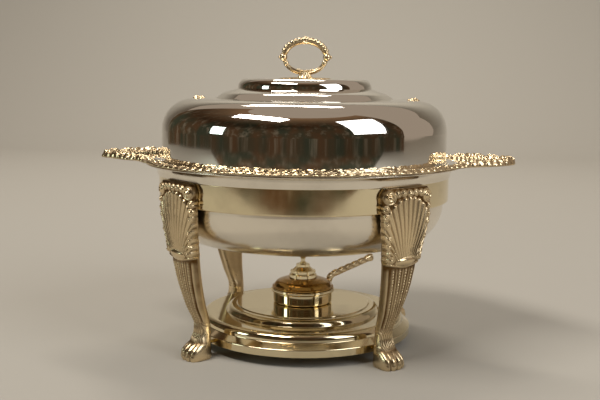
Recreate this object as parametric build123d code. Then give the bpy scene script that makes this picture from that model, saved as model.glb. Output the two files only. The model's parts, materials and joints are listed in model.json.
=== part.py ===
"""A round footed chafing dish: a lidded food pan over a hot-water bowl, on a four-legged stand with a burner.

Millimetres. +Z is up, the floor is Z = 0, the origin is under the middle of the dish, the handles lie
along X and the front is -Y. Round pieces are turned from outlines of (radius, height, rounding) corners.
"""

import math
import os

from build123d import *

os.makedirs("parts", exist_ok=True)

# Overall sizes
BOWL_RADIUS = 161.5  # outside of the hot-water bowl's upright wall
STAND_HEIGHT = 196.3  # floor to the top edge of the stand's ring
TRAY_RADIUS = 126.6  # outside of the burner tray
HANDLE_LENGTH = 57.0  # border to the tip of a handle

# Walls
SHEET = 1.2  # spun sheet of the pans
LID_SHEET = 1.2
RING_WALL = 1.6
TRAY_SHEET = 1.4
CUP_SHEET = 1.2  # burner cup and cover

# Fits and clearances
RING_GAP = 4.2  # bowl wall to the inside of the ring, room for the screw heads
PAN_GAP = 2.9  # food pan wall to bowl wall, where the steam rises
LIP_CLEARANCE = 0.5  # locating lip of the lid inside the pan's mouth
LID_MARGIN = 2.0  # lid wall to the inside of the cast border
SPIGOT_CLEARANCE = 0.3  # burner cover inside its cup
SHANK_CLEARANCE = 0.1  # plain screw holes
LEG_HEADROOM = 0.5  # leg top under the collar that rests on the ring

# Hot-water bowl
BOWL_DEPTH = 76.3
BOWL_CORNER = 45.5
COLLAR_STEP = 7.2  # flat seat on the ring's top edge
COLLAR_FLARE = 14.1
COLLAR_HEIGHT = 13.7
COLLAR_COVE = 8.0
COLLAR_LAP = 6.0  # seat down to the seam with the bowl
COLLAR_LEAN = 1.6  # of the cove's foot, outwards
COLLAR_LAND = 0.5  # drop from the rim to the cove

# Food pan, its border and its handles
PAN_DEPTH = 70.0
PAN_CORNER = 28.0
PAN_DRAFT = 1.7
FLANGE_INSET = 1.0
BORDER_OVERHANG = 4.2
BORDER_HEIGHT = 9.6
BORDER_EDGE = 5.0
BORDER_CROWN = 9.0
HANDLE_HALF_DEPTH = 56.0
# Shares of the tab's length and of its half depth, round its outline from root to tip
HANDLE_OUTLINE = [(0.0, 1.0), (0.3, 0.84), (0.55, 0.65), (0.78, 0.42), (0.94, 0.2), (1.0, 0.0)]
HANDLE_PLATE = 4.0
HANDLE_RIM = 9.0
HANDLE_LIFT = 0.6
PANEL_SHARE = 0.7  # bright panel's size within the tab's outline

# Lid
LID_SEAT = 5.3  # pan wall to the outside of the lid
LID_WALL_HEIGHT = 68.9
LID_SHOULDER = 34.0
LID_SHELF_WIDTH = 60.5
LID_SHELF_RISE = 1.3
LID_STEP_WIDTH = 25.8
LID_STEP_RISE = 11.4
LID_STEP_SHOULDER = (8.4, 5.7)  # in from and down from the second step's sharp corner
LID_STEP_ROUND = 14.0
LID_SEAM = 3.0  # out from the foot of the second step to the seam of the crown
LID_TOP_RISE = 11.0
LID_TOP_ROUND = 7.5
LID_TOP_LEAN = 1.0
LIP_DEPTH = 5.0
LIP_WALL = 1.2
SCROLL_INSET = 38.0
SCROLL_LENGTH = 17.0
SCROLL_WIDTH = 15.0
SCROLL_RISE = 5.0
SCROLL_TAPER = 8.0  # degrees

# Finial
ROSETTE_RADIUS = 31.0
ROSETTE_HEIGHT = 3.5
ROSETTE_EDGE = 1.0
ROSETTE_LOBES = 12
ROSETTE_NOTCH = 2.0
PEDESTAL_RADIUS = 10.0
PEDESTAL_EDGE = 1.5
RING_HALF_WIDTH = 24.4
RING_HALF_HEIGHT = 18.0
RING_BAR = 4.0
RING_CENTRE_RISE = 26.0  # above the top of the lid
SIDE_BALL = 5.4
SIDE_BEAD = 2.0
TOP_BALL = 3.4
STUD_RADIUS = 2.5
STUD_TAIL = 7.0
STUD_GRIP = 5.0
WASHER_RADIUS = 9.0
WASHER_THICKNESS = 1.0
NUT_ACROSS = 8.0
NUT_HEIGHT = 4.0

# Stand: ring, legs and tray
RING_HEIGHT = 27.8
LEG_ANGLES = {"leg_front_right": -45, "leg_rear_right": 45, "leg_rear_left": 135, "leg_front_left": -135}
PAD_THICKNESS = 9.5
PAD_HALF_WIDTH = 33.0
PAD_CORNER = 4.0  # the pad's top corners, across
PAD_CORNER_DROP = 7.0
PAD_SHOULDER = 6.0  # above and below the ring's lower edge, where the leg meets the pad
LEG_SHIN = [
    # height as a share of the ring's, reach as a share from tray to ring, half thickness, half width
    (0.208, 0.315, 6.6, 9.8),
    (0.356, 0.523, 6.8, 13.2),
    (0.534, 0.731, 6.8, 18.0),
    (0.671, 0.841, 7.0, 21.0),
    (0.724, 0.925, 8.0, 23.2),
    (0.789, 0.939, 6.8, 24.6),
    (0.890, 1.024, 6.5, 29.2),
]
PAW_TOES = [(34.0, 0.0), (35.0, 8.1), (30.4, 17.0), (22.8, 27.0)]  # out from the tray's edge, and height
PAW_HALF_WIDTHS = [(13.0, 0.0), (14.4, 8.1), (13.2, 16.2)]  # with heights
HEEL_SETBACK = 7.4
HEEL_DROP = 3.0  # under the tray's lower edge
LEG_UNDERCUT = 1.7  # leg's back to the bowl wall under the ring
TRAY_CLEARANCE = 11.7  # floor to the lower edge of the tray
TRAY_HEIGHT = 31.3
TRAY_SKIRT = 8.2
TRAY_SLOPE = 5.6
TRAY_SLOPE_WIDTH = 8.1
TRAY_ROLL = 7.0
TRAY_LEAN = 1.0
PLATFORM_RADIUS = 88.0
PLATFORM_ROLL = 7.5
PLATFORM_STEP = 8.4
PLATFORM_LEAN = 2.0
INNER_CREASE = 1.2
SCREW_RADIUS = 2.0
SCREW_HEAD = 3.5
SCREW_HEAD_HEIGHT = 2.1
SCREW_DEPTH = 7.0
TRAY_SCREW_DEPTH = 9.0
LEG_SCREW_RISES = (8.0, 20.0)  # above the ring's lower edge

# Burner, measured up from the tray's platform
CUP_RADIUS = 34.7
CUP_HEIGHT = 17.8
CUP_CORNER = 4.0
BEAD_HEIGHT = 15.5
BEAD_OUT = 0.4
BEAD_ROUND = 2.3
COVER_LIP = 1.3
COVER_EDGE = 1.6
COVER_HEIGHT = 11.2
COVER_SHOULDER = 31.0
COVER_SHOULDER_DROP = 3.6
COVER_FLAT = 22.0
COVER_ROUND = 8.4
SPIGOT_DEPTH = 4.0
NECK_BORE = 14.0
NECK_RADIUS = 16.3
NECK_HEIGHT = 4.7
NECK_TAIL = 6.0
SEAT_RADIUS = 13.2
SEAT_HEIGHT = 1.5
WICK_RADIUS = 10.0
WICK_TUBE_WALL = 1.0
TUBE_LENGTH = 32.6
TUBE_PROUD = 2.4  # above the snuffer's seat
WICK_PROUD = 0.4
WICK_TAIL = 1.5
WOOL_RADIUS = 30.5
WOOL_HEIGHT = 11.6
WOOL_CLEARANCE = 0.5
SNUFFER_BORE = 12.4
SNUFFER_RADIUS = 15.0
SNUFFER_BAND = 2.6
SNUFFER_CONE = 3.9
SNUFFER_NECK = 8.0
SNUFFER_NECK_HEIGHT = 3.8
SNUFFER_ROOF = 1.0
SNUFFER_SHOULDER = 7.0
KNOB_TAIL = 2.0
KNOB_PEEN = 0.8
KNOB_PEEN_OUT = 1.0
KNOB_STEM = 3.3
KNOB_WAIST = 2.8
KNOB_RADIUS = 8.0
KNOB_HEIGHT = 17.0
KNOB_WAIST_SHARE = 0.25  # of the knob's height
KNOB_BELLY_SHARE = 0.7
KNOB_ROUND = 2.8
GRIP_TURN = 45.0  # degrees from +X
GRIP_REACH = 112.0
GRIP_HALF_WIDTH = 4.5
GRIP_STANDOFF = 3.5
GRIP_FOOT = 3.0
GRIP_PLATE = 10.0
GRIP_BEND = 23.0
GRIP_TIP = 37.0
GRIP_DEPTH = 7.5
RIVET_RADIUS = 1.5
RIVET_HEAD = 2.6
RIVET_HEAD_HEIGHT = 1.2
RIVET_RISES = (6.0, 10.0)

# Levels and radii that follow from the sizes above
BOWL_BASE = STAND_HEIGHT - BOWL_DEPTH
RING_BASE = STAND_HEIGHT - RING_HEIGHT
RING_RADIUS = BOWL_RADIUS + RING_GAP + RING_WALL
COLLAR_TOP = STAND_HEIGHT + COLLAR_HEIGHT
COLLAR_SEAM = STAND_HEIGHT - COLLAR_LAP
COLLAR_RADIUS = BOWL_RADIUS + COLLAR_STEP + COLLAR_FLARE
PAN_RADIUS = BOWL_RADIUS - SHEET - PAN_GAP
PAN_BASE = COLLAR_TOP - PAN_DEPTH
FLANGE_TOP = COLLAR_TOP + SHEET
FLANGE_RADIUS = COLLAR_RADIUS - FLANGE_INSET
LID_RADIUS = PAN_RADIUS + LID_SEAT
LID_SHELF = FLANGE_TOP + LID_WALL_HEIGHT
SHELF_RADIUS = LID_RADIUS - LID_SHELF_WIDTH
STEP_RADIUS = SHELF_RADIUS - LID_STEP_WIDTH
STEP_LEVEL = LID_SHELF + LID_SHELF_RISE + LID_STEP_RISE
LID_TOP = STEP_LEVEL + LID_TOP_RISE
BORDER_INNER = LID_RADIUS + LID_MARGIN
BORDER_RADIUS = COLLAR_RADIUS + BORDER_OVERHANG
BORDER_TOP = FLANGE_TOP + BORDER_HEIGHT
RING_CENTRE = LID_TOP + RING_CENTRE_RISE
PLATFORM = TRAY_CLEARANCE + TRAY_HEIGHT
CUP_TOP = PLATFORM + CUP_HEIGHT
COVER_TOP = CUP_TOP + COVER_HEIGHT
SNUFFER_SEAT = COVER_TOP + NECK_HEIGHT + SEAT_HEIGHT
TUBE_RADIUS = WICK_RADIUS + WICK_TUBE_WALL
TUBE_TOP = SNUFFER_SEAT + TUBE_PROUD
FLOOR = 0.0


def turned(*corners):
    """Solid of revolution about Z. Each corner is (radius, height) or (radius, height, rounding)."""
    places = [(corner[0], corner[1]) for corner in corners]
    rounding = [corner[2] if len(corner) > 2 else 0 for corner in corners]
    outline = FilletPolyline(*places, radius=rounding, close=True)
    return revolve(Plane.XZ * make_face(outline), Axis.Z)


def beside(corners, gap):
    """The same open outline moved gap to its right, with its roundings kept concentric."""
    places = [Vector(corner[0], corner[1]) for corner in corners]
    rounding = [corner[2] if len(corner) > 2 else 0 for corner in corners]
    ways = [(end - start).normalized() for start, end in zip(places, places[1:])]
    sides = [Vector(way.Y, -way.X) for way in ways]
    moved = []
    for index, (place, radius) in enumerate(zip(places, rounding)):
        before, after = sides[max(index - 1, 0)], sides[min(index, len(sides) - 1)]
        mitre = (before + after) * (gap / (1 + before.dot(after)))
        turn = before.cross(after).Z
        if radius:
            radius = max(radius + math.copysign(gap, turn), 0)
        moved.append((place.X + mitre.X, place.Y + mitre.Y, radius))
    return moved


def spun(corners, wall):
    """Sheet of even wall: the outline's left face is given, and its metal lies to the right."""
    return turned(*corners, *reversed(beside(corners, wall)))


def spun_inside(corners, wall):
    """Sheet of even wall whose metal lies to the left of the given outline."""
    return turned(*corners, *reversed(beside(corners, -wall)))


def around(angle, shape):
    return Rot(0, 0, angle) * shape


def radial_pin(radius, start, end, height, across=0.0):
    """Round pin along +X from radius start to radius end."""
    return Pos(start, across, height) * Rot(0, 90, 0) * extrude(Circle(radius), end - start)


def write(name, *pieces):
    solids = [solid for piece in pieces for solid in piece.solids()]
    shape = solids[0] if len(solids) == 1 else Compound(children=solids)
    export_step(shape, f"parts/{name}.step")


# ---- hot-water bowl ----


def water_bowl():
    """Flat-bottomed bowl, up to the seam of its collar."""
    return spun_inside(
        [
            (0, BOWL_BASE),
            (BOWL_RADIUS, BOWL_BASE, BOWL_CORNER),
            (BOWL_RADIUS, COLLAR_SEAM),
        ],
        SHEET,
    )


def water_bowl_collar():
    """Flared collar, soldered to the bowl's edge: its seat rests on the ring, and its rim carries the pan."""
    seat = BOWL_RADIUS + COLLAR_STEP
    return spun_inside(
        [
            (BOWL_RADIUS, COLLAR_SEAM),
            (BOWL_RADIUS, STAND_HEIGHT, INNER_CREASE),
            (seat, STAND_HEIGHT, INNER_CREASE),
            (seat + COLLAR_LEAN, COLLAR_TOP - SHEET - COLLAR_LAND, COLLAR_COVE),
            (COLLAR_RADIUS, COLLAR_TOP - SHEET),
        ],
        SHEET,
    )


# ---- food pan ----


def food_pan():
    return spun_inside(
        [
            (0, PAN_BASE),
            (PAN_RADIUS - PAN_DRAFT, PAN_BASE, PAN_CORNER),
            (PAN_RADIUS, COLLAR_TOP, INNER_CREASE),
            (FLANGE_RADIUS, COLLAR_TOP),
        ],
        SHEET,
    )


def rim_border():
    """Cast border ring on the pan's flange, crowned, with an upright outer edge for the handles."""
    half_crown = (BORDER_RADIUS - BORDER_INNER - BORDER_CROWN) / 2
    return turned(
        (BORDER_INNER, FLANGE_TOP),
        (BORDER_RADIUS, FLANGE_TOP),
        (BORDER_RADIUS, FLANGE_TOP + BORDER_EDGE),
        (BORDER_RADIUS - half_crown, BORDER_TOP, INNER_CREASE),
        (BORDER_INNER + half_crown, BORDER_TOP, INNER_CREASE),
        (BORDER_INNER, FLANGE_TOP + BORDER_EDGE),
    )


def tab_handle():
    """Tab handle on +X: a plate with a raised rim round its bright panel."""
    tip = BORDER_RADIUS + HANDLE_LENGTH
    root = math.sqrt(BORDER_RADIUS**2 - HANDLE_HALF_DEPTH**2)
    side = [(root + (tip - root) * out, HANDLE_HALF_DEPTH * deep) for out, deep in HANDLE_OUTLINE]
    mirrored = [(x, -y) for x, y in reversed(side[:-1])]
    outline = Curve() + [Spline(*side, *mirrored), Line(mirrored[-1], side[0])]
    plan = make_face(outline)
    middle = (BORDER_RADIUS + tip) / 2
    panel = Pos(middle, 0) * scale(Pos(-middle, 0) * plan, PANEL_SHARE)
    base = FLANGE_TOP + HANDLE_LIFT
    tab = extrude(plan, HANDLE_RIM) - Pos(0, 0, HANDLE_PLATE) * extrude(panel, HANDLE_RIM)
    return Pos(0, 0, base) * tab - extrude(Circle(BORDER_RADIUS), BORDER_TOP)


# ---- lid ----


def lid_outline():
    return [
        (0, LID_TOP),
        (STEP_RADIUS - LID_TOP_LEAN, LID_TOP, LID_TOP_ROUND),
        (STEP_RADIUS, STEP_LEVEL, INNER_CREASE),
        (SHELF_RADIUS - LID_STEP_SHOULDER[0], STEP_LEVEL - LID_STEP_SHOULDER[1], LID_STEP_ROUND),
        (SHELF_RADIUS, LID_SHELF + LID_SHELF_RISE, INNER_CREASE),
        (LID_RADIUS, LID_SHELF, LID_SHOULDER),
        (LID_RADIUS, FLANGE_TOP),
    ]


def lid_bulk():
    return turned(*lid_outline(), (0, FLANGE_TOP))


def crown_bounds():
    return Pos(0, 0, FLANGE_TOP) * extrude(Circle(SHELF_RADIUS + LID_SEAM), LID_TOP - FLANGE_TOP)


def lid_dome():
    """Wall, shoulder and shelf of the lid."""
    return spun(lid_outline(), LID_SHEET) - crown_bounds()


def lid_crown():
    """Second step and top of the lid, soldered into the shelf."""
    return (spun(lid_outline(), LID_SHEET) & crown_bounds()) - stud_hole()


def locating_lip():
    """Ring inside the lid's foot, which drops into the pan's mouth."""
    inside = PAN_RADIUS - SHEET - LIP_CLEARANCE
    return turned(
        (inside - LIP_WALL, FLANGE_TOP - LIP_DEPTH),
        (inside, FLANGE_TOP - LIP_DEPTH),
        (inside, FLANGE_TOP + LIP_CLEARANCE),
        (LID_RADIUS - LID_SHEET, FLANGE_TOP + LIP_CLEARANCE),
        (LID_RADIUS - LID_SHEET, FLANGE_TOP + LIP_CLEARANCE + LIP_WALL),
        (inside - LIP_WALL, FLANGE_TOP + LIP_CLEARANCE + LIP_WALL),
    )


def stud_hole():
    hole = Circle(STUD_RADIUS + SHANK_CLEARANCE)
    return Pos(0, 0, FLANGE_TOP) * extrude(hole, LID_TOP + ROSETTE_HEIGHT + 1 - FLANGE_TOP)


def finial_rosette():
    """Leaf rosette: a shallow dome with a lobed edge, under the finial."""
    dome = turned(
        (0, LID_TOP),
        (ROSETTE_RADIUS, LID_TOP),
        (ROSETTE_RADIUS, LID_TOP + ROSETTE_EDGE),
        (ROSETTE_RADIUS / 2, LID_TOP + ROSETTE_HEIGHT),
        (0, LID_TOP + ROSETTE_HEIGHT),
    )
    cut = extrude(Circle(ROSETTE_NOTCH), ROSETTE_HEIGHT)
    notch = Pos(ROSETTE_RADIUS + ROSETTE_NOTCH / 2, 0, LID_TOP) * cut
    notches = [around(360 / ROSETTE_LOBES * index, notch) for index in range(ROSETTE_LOBES)]
    return dome - notches - stud_hole()


def finial_ring():
    """Oval ring facing the front, with a ball at each side and on top, on a short pedestal."""
    path = Plane.XZ.shift_origin((0, 0, RING_CENTRE)) * Ellipse(RING_HALF_WIDTH, RING_HALF_HEIGHT).edge()
    start = Plane(origin=path @ 0, z_dir=path % 0)
    bar = sweep(start * Circle(RING_BAR), path=path)
    base = LID_TOP + ROSETTE_HEIGHT
    under = RING_CENTRE - RING_HALF_HEIGHT
    pedestal = turned(
        (0, base),
        (PEDESTAL_RADIUS, base),
        (PEDESTAL_RADIUS, base + PEDESTAL_EDGE),
        (PEDESTAL_RADIUS / 2, under),
        (0, under),
    )
    balls = [Pos(side * RING_HALF_WIDTH, 0, RING_CENTRE) * Sphere(SIDE_BALL) for side in (-1, 1)]
    reach = RING_HALF_WIDTH + SIDE_BALL - SIDE_BEAD / 2
    beads = [Pos(side * reach, 0, RING_CENTRE) * Sphere(SIDE_BEAD) for side in (-1, 1)]
    crown = Pos(0, 0, RING_CENTRE + RING_HALF_HEIGHT + RING_BAR - TOP_BALL / 2) * Sphere(TOP_BALL)
    tapped = Pos(0, 0, base) * extrude(Circle(STUD_RADIUS), STUD_GRIP)
    return bar + pedestal + balls + beads + crown - tapped


def finial_stud():
    length = STUD_GRIP + ROSETTE_HEIGHT + LID_SHEET + STUD_TAIL
    return Pos(0, 0, LID_TOP + ROSETTE_HEIGHT + STUD_GRIP - length) * extrude(Circle(STUD_RADIUS), length)


def finial_washer():
    disc = Circle(WASHER_RADIUS) - Circle(STUD_RADIUS + SHANK_CLEARANCE)
    return Pos(0, 0, LID_TOP - LID_SHEET - WASHER_THICKNESS) * extrude(disc, WASHER_THICKNESS)


def finial_nut():
    across = RegularPolygon(NUT_ACROSS / 2, 6, major_radius=False) - Circle(STUD_RADIUS)
    return Pos(0, 0, LID_TOP - LID_SHEET - WASHER_THICKNESS - NUT_HEIGHT) * extrude(across, NUT_HEIGHT)


def shoulder_scroll():
    """Small cast scroll on the lid's shelf, on +X, cut to sit on the shelf."""
    plan = Ellipse(SCROLL_LENGTH / 2, SCROLL_WIDTH / 2)
    block = extrude(plan, 3 * SCROLL_RISE, taper=SCROLL_TAPER)
    place = Pos(LID_RADIUS - SCROLL_INSET, 0, LID_SHELF - 2 * SCROLL_RISE)
    return place * block - lid_bulk()


# ---- stand ----


def tray_outline():
    skirt = TRAY_CLEARANCE + TRAY_SKIRT
    slope = skirt + TRAY_SLOPE
    shelf = PLATFORM - PLATFORM_STEP
    return [
        (0, PLATFORM),
        (PLATFORM_RADIUS, PLATFORM, PLATFORM_ROLL),
        (PLATFORM_RADIUS + PLATFORM_LEAN, shelf, INNER_CREASE),
        (TRAY_RADIUS - TRAY_SLOPE_WIDTH - TRAY_LEAN, shelf, TRAY_ROLL),
        (TRAY_RADIUS - TRAY_SLOPE_WIDTH, slope, INNER_CREASE),
        (TRAY_RADIUS, skirt, INNER_CREASE),
        (TRAY_RADIUS, TRAY_CLEARANCE),
    ]


def stand_ring():
    ring = turned(
        (RING_RADIUS - RING_WALL, RING_BASE),
        (RING_RADIUS, RING_BASE),
        (RING_RADIUS, STAND_HEIGHT),
        (RING_RADIUS - RING_WALL, STAND_HEIGHT),
    )
    return ring - [around(angle, hole) for angle in LEG_ANGLES.values() for hole in leg_screw_holes()]


def burner_tray():
    holes = [around(angle, tray_screw_hole()) for angle in LEG_ANGLES.values()]
    return spun(tray_outline(), TRAY_SHEET) - holes


def leg_stations():
    """Stations up the leg: height, radius of its middle, half thickness and half width."""
    between = RING_RADIUS - TRAY_RADIUS
    return [
        (rise * RING_BASE, TRAY_RADIUS + reach * between, deep, wide) for rise, reach, deep, wide in LEG_SHIN
    ]


def leg_side():
    """Side outline of the leg on +X: its back and front curves, joined behind the ring and under the foot."""
    stations = leg_stations()
    top = STAND_HEIGHT - LEG_HEADROOM
    undercut = BOWL_RADIUS + LEG_UNDERCUT
    knee_back = (undercut, RING_BASE - PAD_SHOULDER)
    pad_foot = (pad_outside(), RING_BASE)
    tray_edge = (TRAY_RADIUS, TRAY_CLEARANCE + TRAY_SKIRT)
    toes = [(TRAY_RADIUS + out, height) for out, height in PAW_TOES]
    back = Spline(tray_edge, *[(radius - deep, height) for height, radius, deep, _ in stations], knee_back)
    front = Spline(*toes, *[(radius + deep, height) for height, radius, deep, _ in stations], pad_foot)
    pad = Polyline(
        knee_back,
        (undercut, RING_BASE),
        (RING_RADIUS, RING_BASE),
        (RING_RADIUS, top),
        (pad_outside(), top),
        pad_foot,
    )
    sole = Polyline(
        toes[0],
        (TRAY_RADIUS + HEEL_SETBACK, FLOOR),
        (TRAY_RADIUS, TRAY_CLEARANCE - HEEL_DROP),
        tray_edge,
    )
    return make_face(Curve() + [back, front, pad, sole])


def leg():
    """Cabriole leg on +X: its side outline turned about the dish's axis, cut to its front outline."""
    top = STAND_HEIGHT - LEG_HEADROOM
    rail = [
        *PAW_HALF_WIDTHS,
        *[(wide, height) for height, _, _, wide in leg_stations()],
        (PAD_HALF_WIDTH, RING_BASE + PAD_SHOULDER),
        (PAD_HALF_WIDTH, top - PAD_CORNER_DROP),
        (PAD_HALF_WIDTH - PAD_CORNER, top),
    ]
    left = [(-wide, height) for wide, height in rail]
    outline = Curve() + [Spline(*rail), Spline(*left), Line(rail[0], left[0]), Line(rail[-1], left[-1])]
    width = extrude(Plane.YZ.offset(TRAY_RADIUS / 2) * make_face(outline), RING_RADIUS)
    return revolve(Plane.XZ * leg_side(), Axis.Z) & width


def leg_screw_holes():
    inner = RING_RADIUS - RING_WALL
    return [
        radial_pin(SCREW_RADIUS, inner - 1, inner + RING_WALL + SCREW_DEPTH, RING_BASE + rise)
        for rise in LEG_SCREW_RISES
    ]


def leg_screws():
    """Two cheese-headed screws on +X, driven outwards through the ring into the leg."""
    inner = RING_RADIUS - RING_WALL
    bored = turned(
        (inner, RING_BASE),
        (RING_RADIUS, RING_BASE),
        (RING_RADIUS, STAND_HEIGHT),
        (inner, STAND_HEIGHT),
    )
    screws = []
    for rise in LEG_SCREW_RISES:
        head = radial_pin(SCREW_HEAD, inner - SCREW_HEAD_HEIGHT, inner + 1, RING_BASE + rise) - bored
        shank = radial_pin(SCREW_RADIUS, inner - 1, inner + RING_WALL + SCREW_DEPTH, RING_BASE + rise)
        screws.append(head + shank)
    return screws


def pad_outside():
    return RING_RADIUS + PAD_THICKNESS


def tray_screw_level():
    return TRAY_CLEARANCE + TRAY_SKIRT / 2


def tray_screw_hole():
    inner = TRAY_RADIUS - TRAY_SHEET
    return radial_pin(SCREW_RADIUS, inner - 1, inner + TRAY_SCREW_DEPTH, tray_screw_level())


def tray_screw():
    """Screw on +X, driven outwards through the tray's skirt into the ankle."""
    inner = TRAY_RADIUS - TRAY_SHEET
    head = radial_pin(SCREW_HEAD, inner - SCREW_HEAD_HEIGHT, inner + 1, tray_screw_level())
    return head - spun(tray_outline(), TRAY_SHEET) + tray_screw_hole()


# ---- burner ----


def cup_bead():
    return Pos(0, 0, PLATFORM + BEAD_HEIGHT) * Torus(CUP_RADIUS + BEAD_OUT, BEAD_ROUND)


def cup_bulk():
    cup = turned(
        (0, PLATFORM),
        (CUP_RADIUS, PLATFORM, CUP_CORNER),
        (CUP_RADIUS, CUP_TOP),
        (0, CUP_TOP),
    )
    return cup + cup_bead()


def cup_hollow():
    inner = CUP_RADIUS - CUP_SHEET
    return turned(
        (0, PLATFORM + CUP_SHEET),
        (inner, PLATFORM + CUP_SHEET, CUP_CORNER - CUP_SHEET),
        (inner, CUP_TOP + 1),
        (0, CUP_TOP + 1),
    )


def rivet_shanks():
    inner = CUP_RADIUS - CUP_SHEET - RIVET_HEAD_HEIGHT / 2
    outer = CUP_RADIUS + GRIP_STANDOFF + RIVET_HEAD_HEIGHT / 2
    return [radial_pin(RIVET_RADIUS, inner, outer, PLATFORM + rise) for rise in RIVET_RISES]


def burner_cup():
    return cup_bulk() - cup_hollow() - [around(GRIP_TURN, shank) for shank in rivet_shanks()]


def burner_handle():
    """Cast bar on +X, riveted to the cup's wall: it steps out past the bead and rises to its tip."""
    face = CUP_RADIUS + GRIP_STANDOFF
    foot = PLATFORM + GRIP_FOOT
    bend = PLATFORM + GRIP_BEND
    tip = PLATFORM + GRIP_TIP
    side = Polyline(
        (CUP_RADIUS - 1, foot),
        (face, foot),
        (face + GRIP_STANDOFF, foot + GRIP_PLATE),
        (face + 2 * GRIP_STANDOFF, bend),
        (GRIP_REACH, tip),
        (GRIP_REACH, tip + GRIP_DEPTH),
        (face + GRIP_STANDOFF, bend + GRIP_DEPTH),
        (face, bend),
        (face, foot + GRIP_PLATE),
        (CUP_RADIUS - 1, foot + GRIP_PLATE),
        close=True,
    )
    bar = extrude(Plane.XZ * make_face(side), GRIP_HALF_WIDTH, both=True)
    return bar - cup_bulk() - rivet_shanks()


def handle_rivets():
    """Two rivets on +X through the cup's wall into the handle, with their heads inside the cup."""
    inner = CUP_RADIUS - CUP_SHEET
    wall = cup_bulk() - cup_hollow()
    rivets = []
    for rise, shank in zip(RIVET_RISES, rivet_shanks()):
        head = radial_pin(RIVET_HEAD, inner - RIVET_HEAD_HEIGHT, inner + 1, PLATFORM + rise) - wall
        rivets.append(shank + head.solids().sort_by(Axis.X)[0])
    return rivets


def burner_cover():
    """Domed cover whose spigot drops into the cup's mouth, open at the neck."""
    lip = CUP_RADIUS + COVER_LIP
    spigot = CUP_RADIUS - CUP_SHEET - SPIGOT_CLEARANCE
    inside = spigot - CUP_SHEET
    shoulder = COVER_TOP - COVER_SHOULDER_DROP
    return turned(
        (lip, CUP_TOP),
        (lip, CUP_TOP + COVER_EDGE, CUP_SHEET),
        (COVER_SHOULDER, shoulder, COVER_ROUND),
        (COVER_FLAT, COVER_TOP, COVER_ROUND),
        (NECK_BORE, COVER_TOP),
        (NECK_BORE, COVER_TOP - CUP_SHEET),
        (COVER_FLAT, COVER_TOP - CUP_SHEET),
        (COVER_SHOULDER - CUP_SHEET, shoulder - CUP_SHEET),
        (inside, CUP_TOP + COVER_EDGE),
        (inside, CUP_TOP - SPIGOT_DEPTH),
        (spigot, CUP_TOP - SPIGOT_DEPTH),
        (spigot, CUP_TOP),
    )


def neck_collar():
    """Collar in the cover's neck: it holds the wick tube and carries the snuffer's seat."""
    return turned(
        (TUBE_RADIUS, COVER_TOP - NECK_TAIL),
        (NECK_BORE, COVER_TOP - NECK_TAIL),
        (NECK_BORE, COVER_TOP),
        (NECK_RADIUS, COVER_TOP),
        (NECK_RADIUS, COVER_TOP + NECK_HEIGHT, INNER_CREASE),
        (SEAT_RADIUS, COVER_TOP + NECK_HEIGHT),
        (SEAT_RADIUS, SNUFFER_SEAT),
        (TUBE_RADIUS, SNUFFER_SEAT),
    )


def wick_tube():
    return Pos(0, 0, TUBE_TOP - TUBE_LENGTH) * extrude(Circle(TUBE_RADIUS) - Circle(WICK_RADIUS), TUBE_LENGTH)


def wick():
    length = TUBE_LENGTH + WICK_PROUD + WICK_TAIL
    return Pos(0, 0, TUBE_TOP + WICK_PROUD - length) * extrude(Circle(WICK_RADIUS), length)


def fuel_wool():
    ring = Circle(WOOL_RADIUS) - Circle(TUBE_RADIUS + WOOL_CLEARANCE)
    return Pos(0, 0, PLATFORM + CUP_SHEET) * extrude(ring, WOOL_HEIGHT)


def snuffer_cap():
    cone_foot = SNUFFER_SEAT + SNUFFER_BAND
    cone_top = cone_foot + SNUFFER_CONE
    return turned(
        (SNUFFER_BORE, SNUFFER_SEAT),
        (SNUFFER_RADIUS, SNUFFER_SEAT),
        (SNUFFER_RADIUS, cone_foot),
        (SNUFFER_NECK, cone_top),
        (SNUFFER_NECK, cone_top + SNUFFER_NECK_HEIGHT),
        (KNOB_TAIL, cone_top + SNUFFER_NECK_HEIGHT),
        (KNOB_TAIL, cone_top - SNUFFER_ROOF),
        (SNUFFER_SHOULDER, cone_top - SNUFFER_ROOF),
        (SNUFFER_BORE, cone_foot),
    )


def snuffer_knob():
    """Turned knob whose tail is peened over inside the cap."""
    peen = SNUFFER_SEAT + SNUFFER_BAND + SNUFFER_CONE - SNUFFER_ROOF
    base = peen + SNUFFER_ROOF + SNUFFER_NECK_HEIGHT
    return turned(
        (0, peen - KNOB_PEEN),
        (KNOB_TAIL + KNOB_PEEN_OUT, peen - KNOB_PEEN),
        (KNOB_TAIL + KNOB_PEEN_OUT, peen),
        (KNOB_TAIL, peen),
        (KNOB_TAIL, base),
        (KNOB_STEM, base),
        (KNOB_WAIST, base + KNOB_HEIGHT * KNOB_WAIST_SHARE),
        (KNOB_RADIUS, base + KNOB_HEIGHT * KNOB_BELLY_SHARE, KNOB_ROUND),
        (KNOB_RADIUS - 1, base + KNOB_HEIGHT, KNOB_ROUND),
        (0, base + KNOB_HEIGHT),
    )


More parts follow.
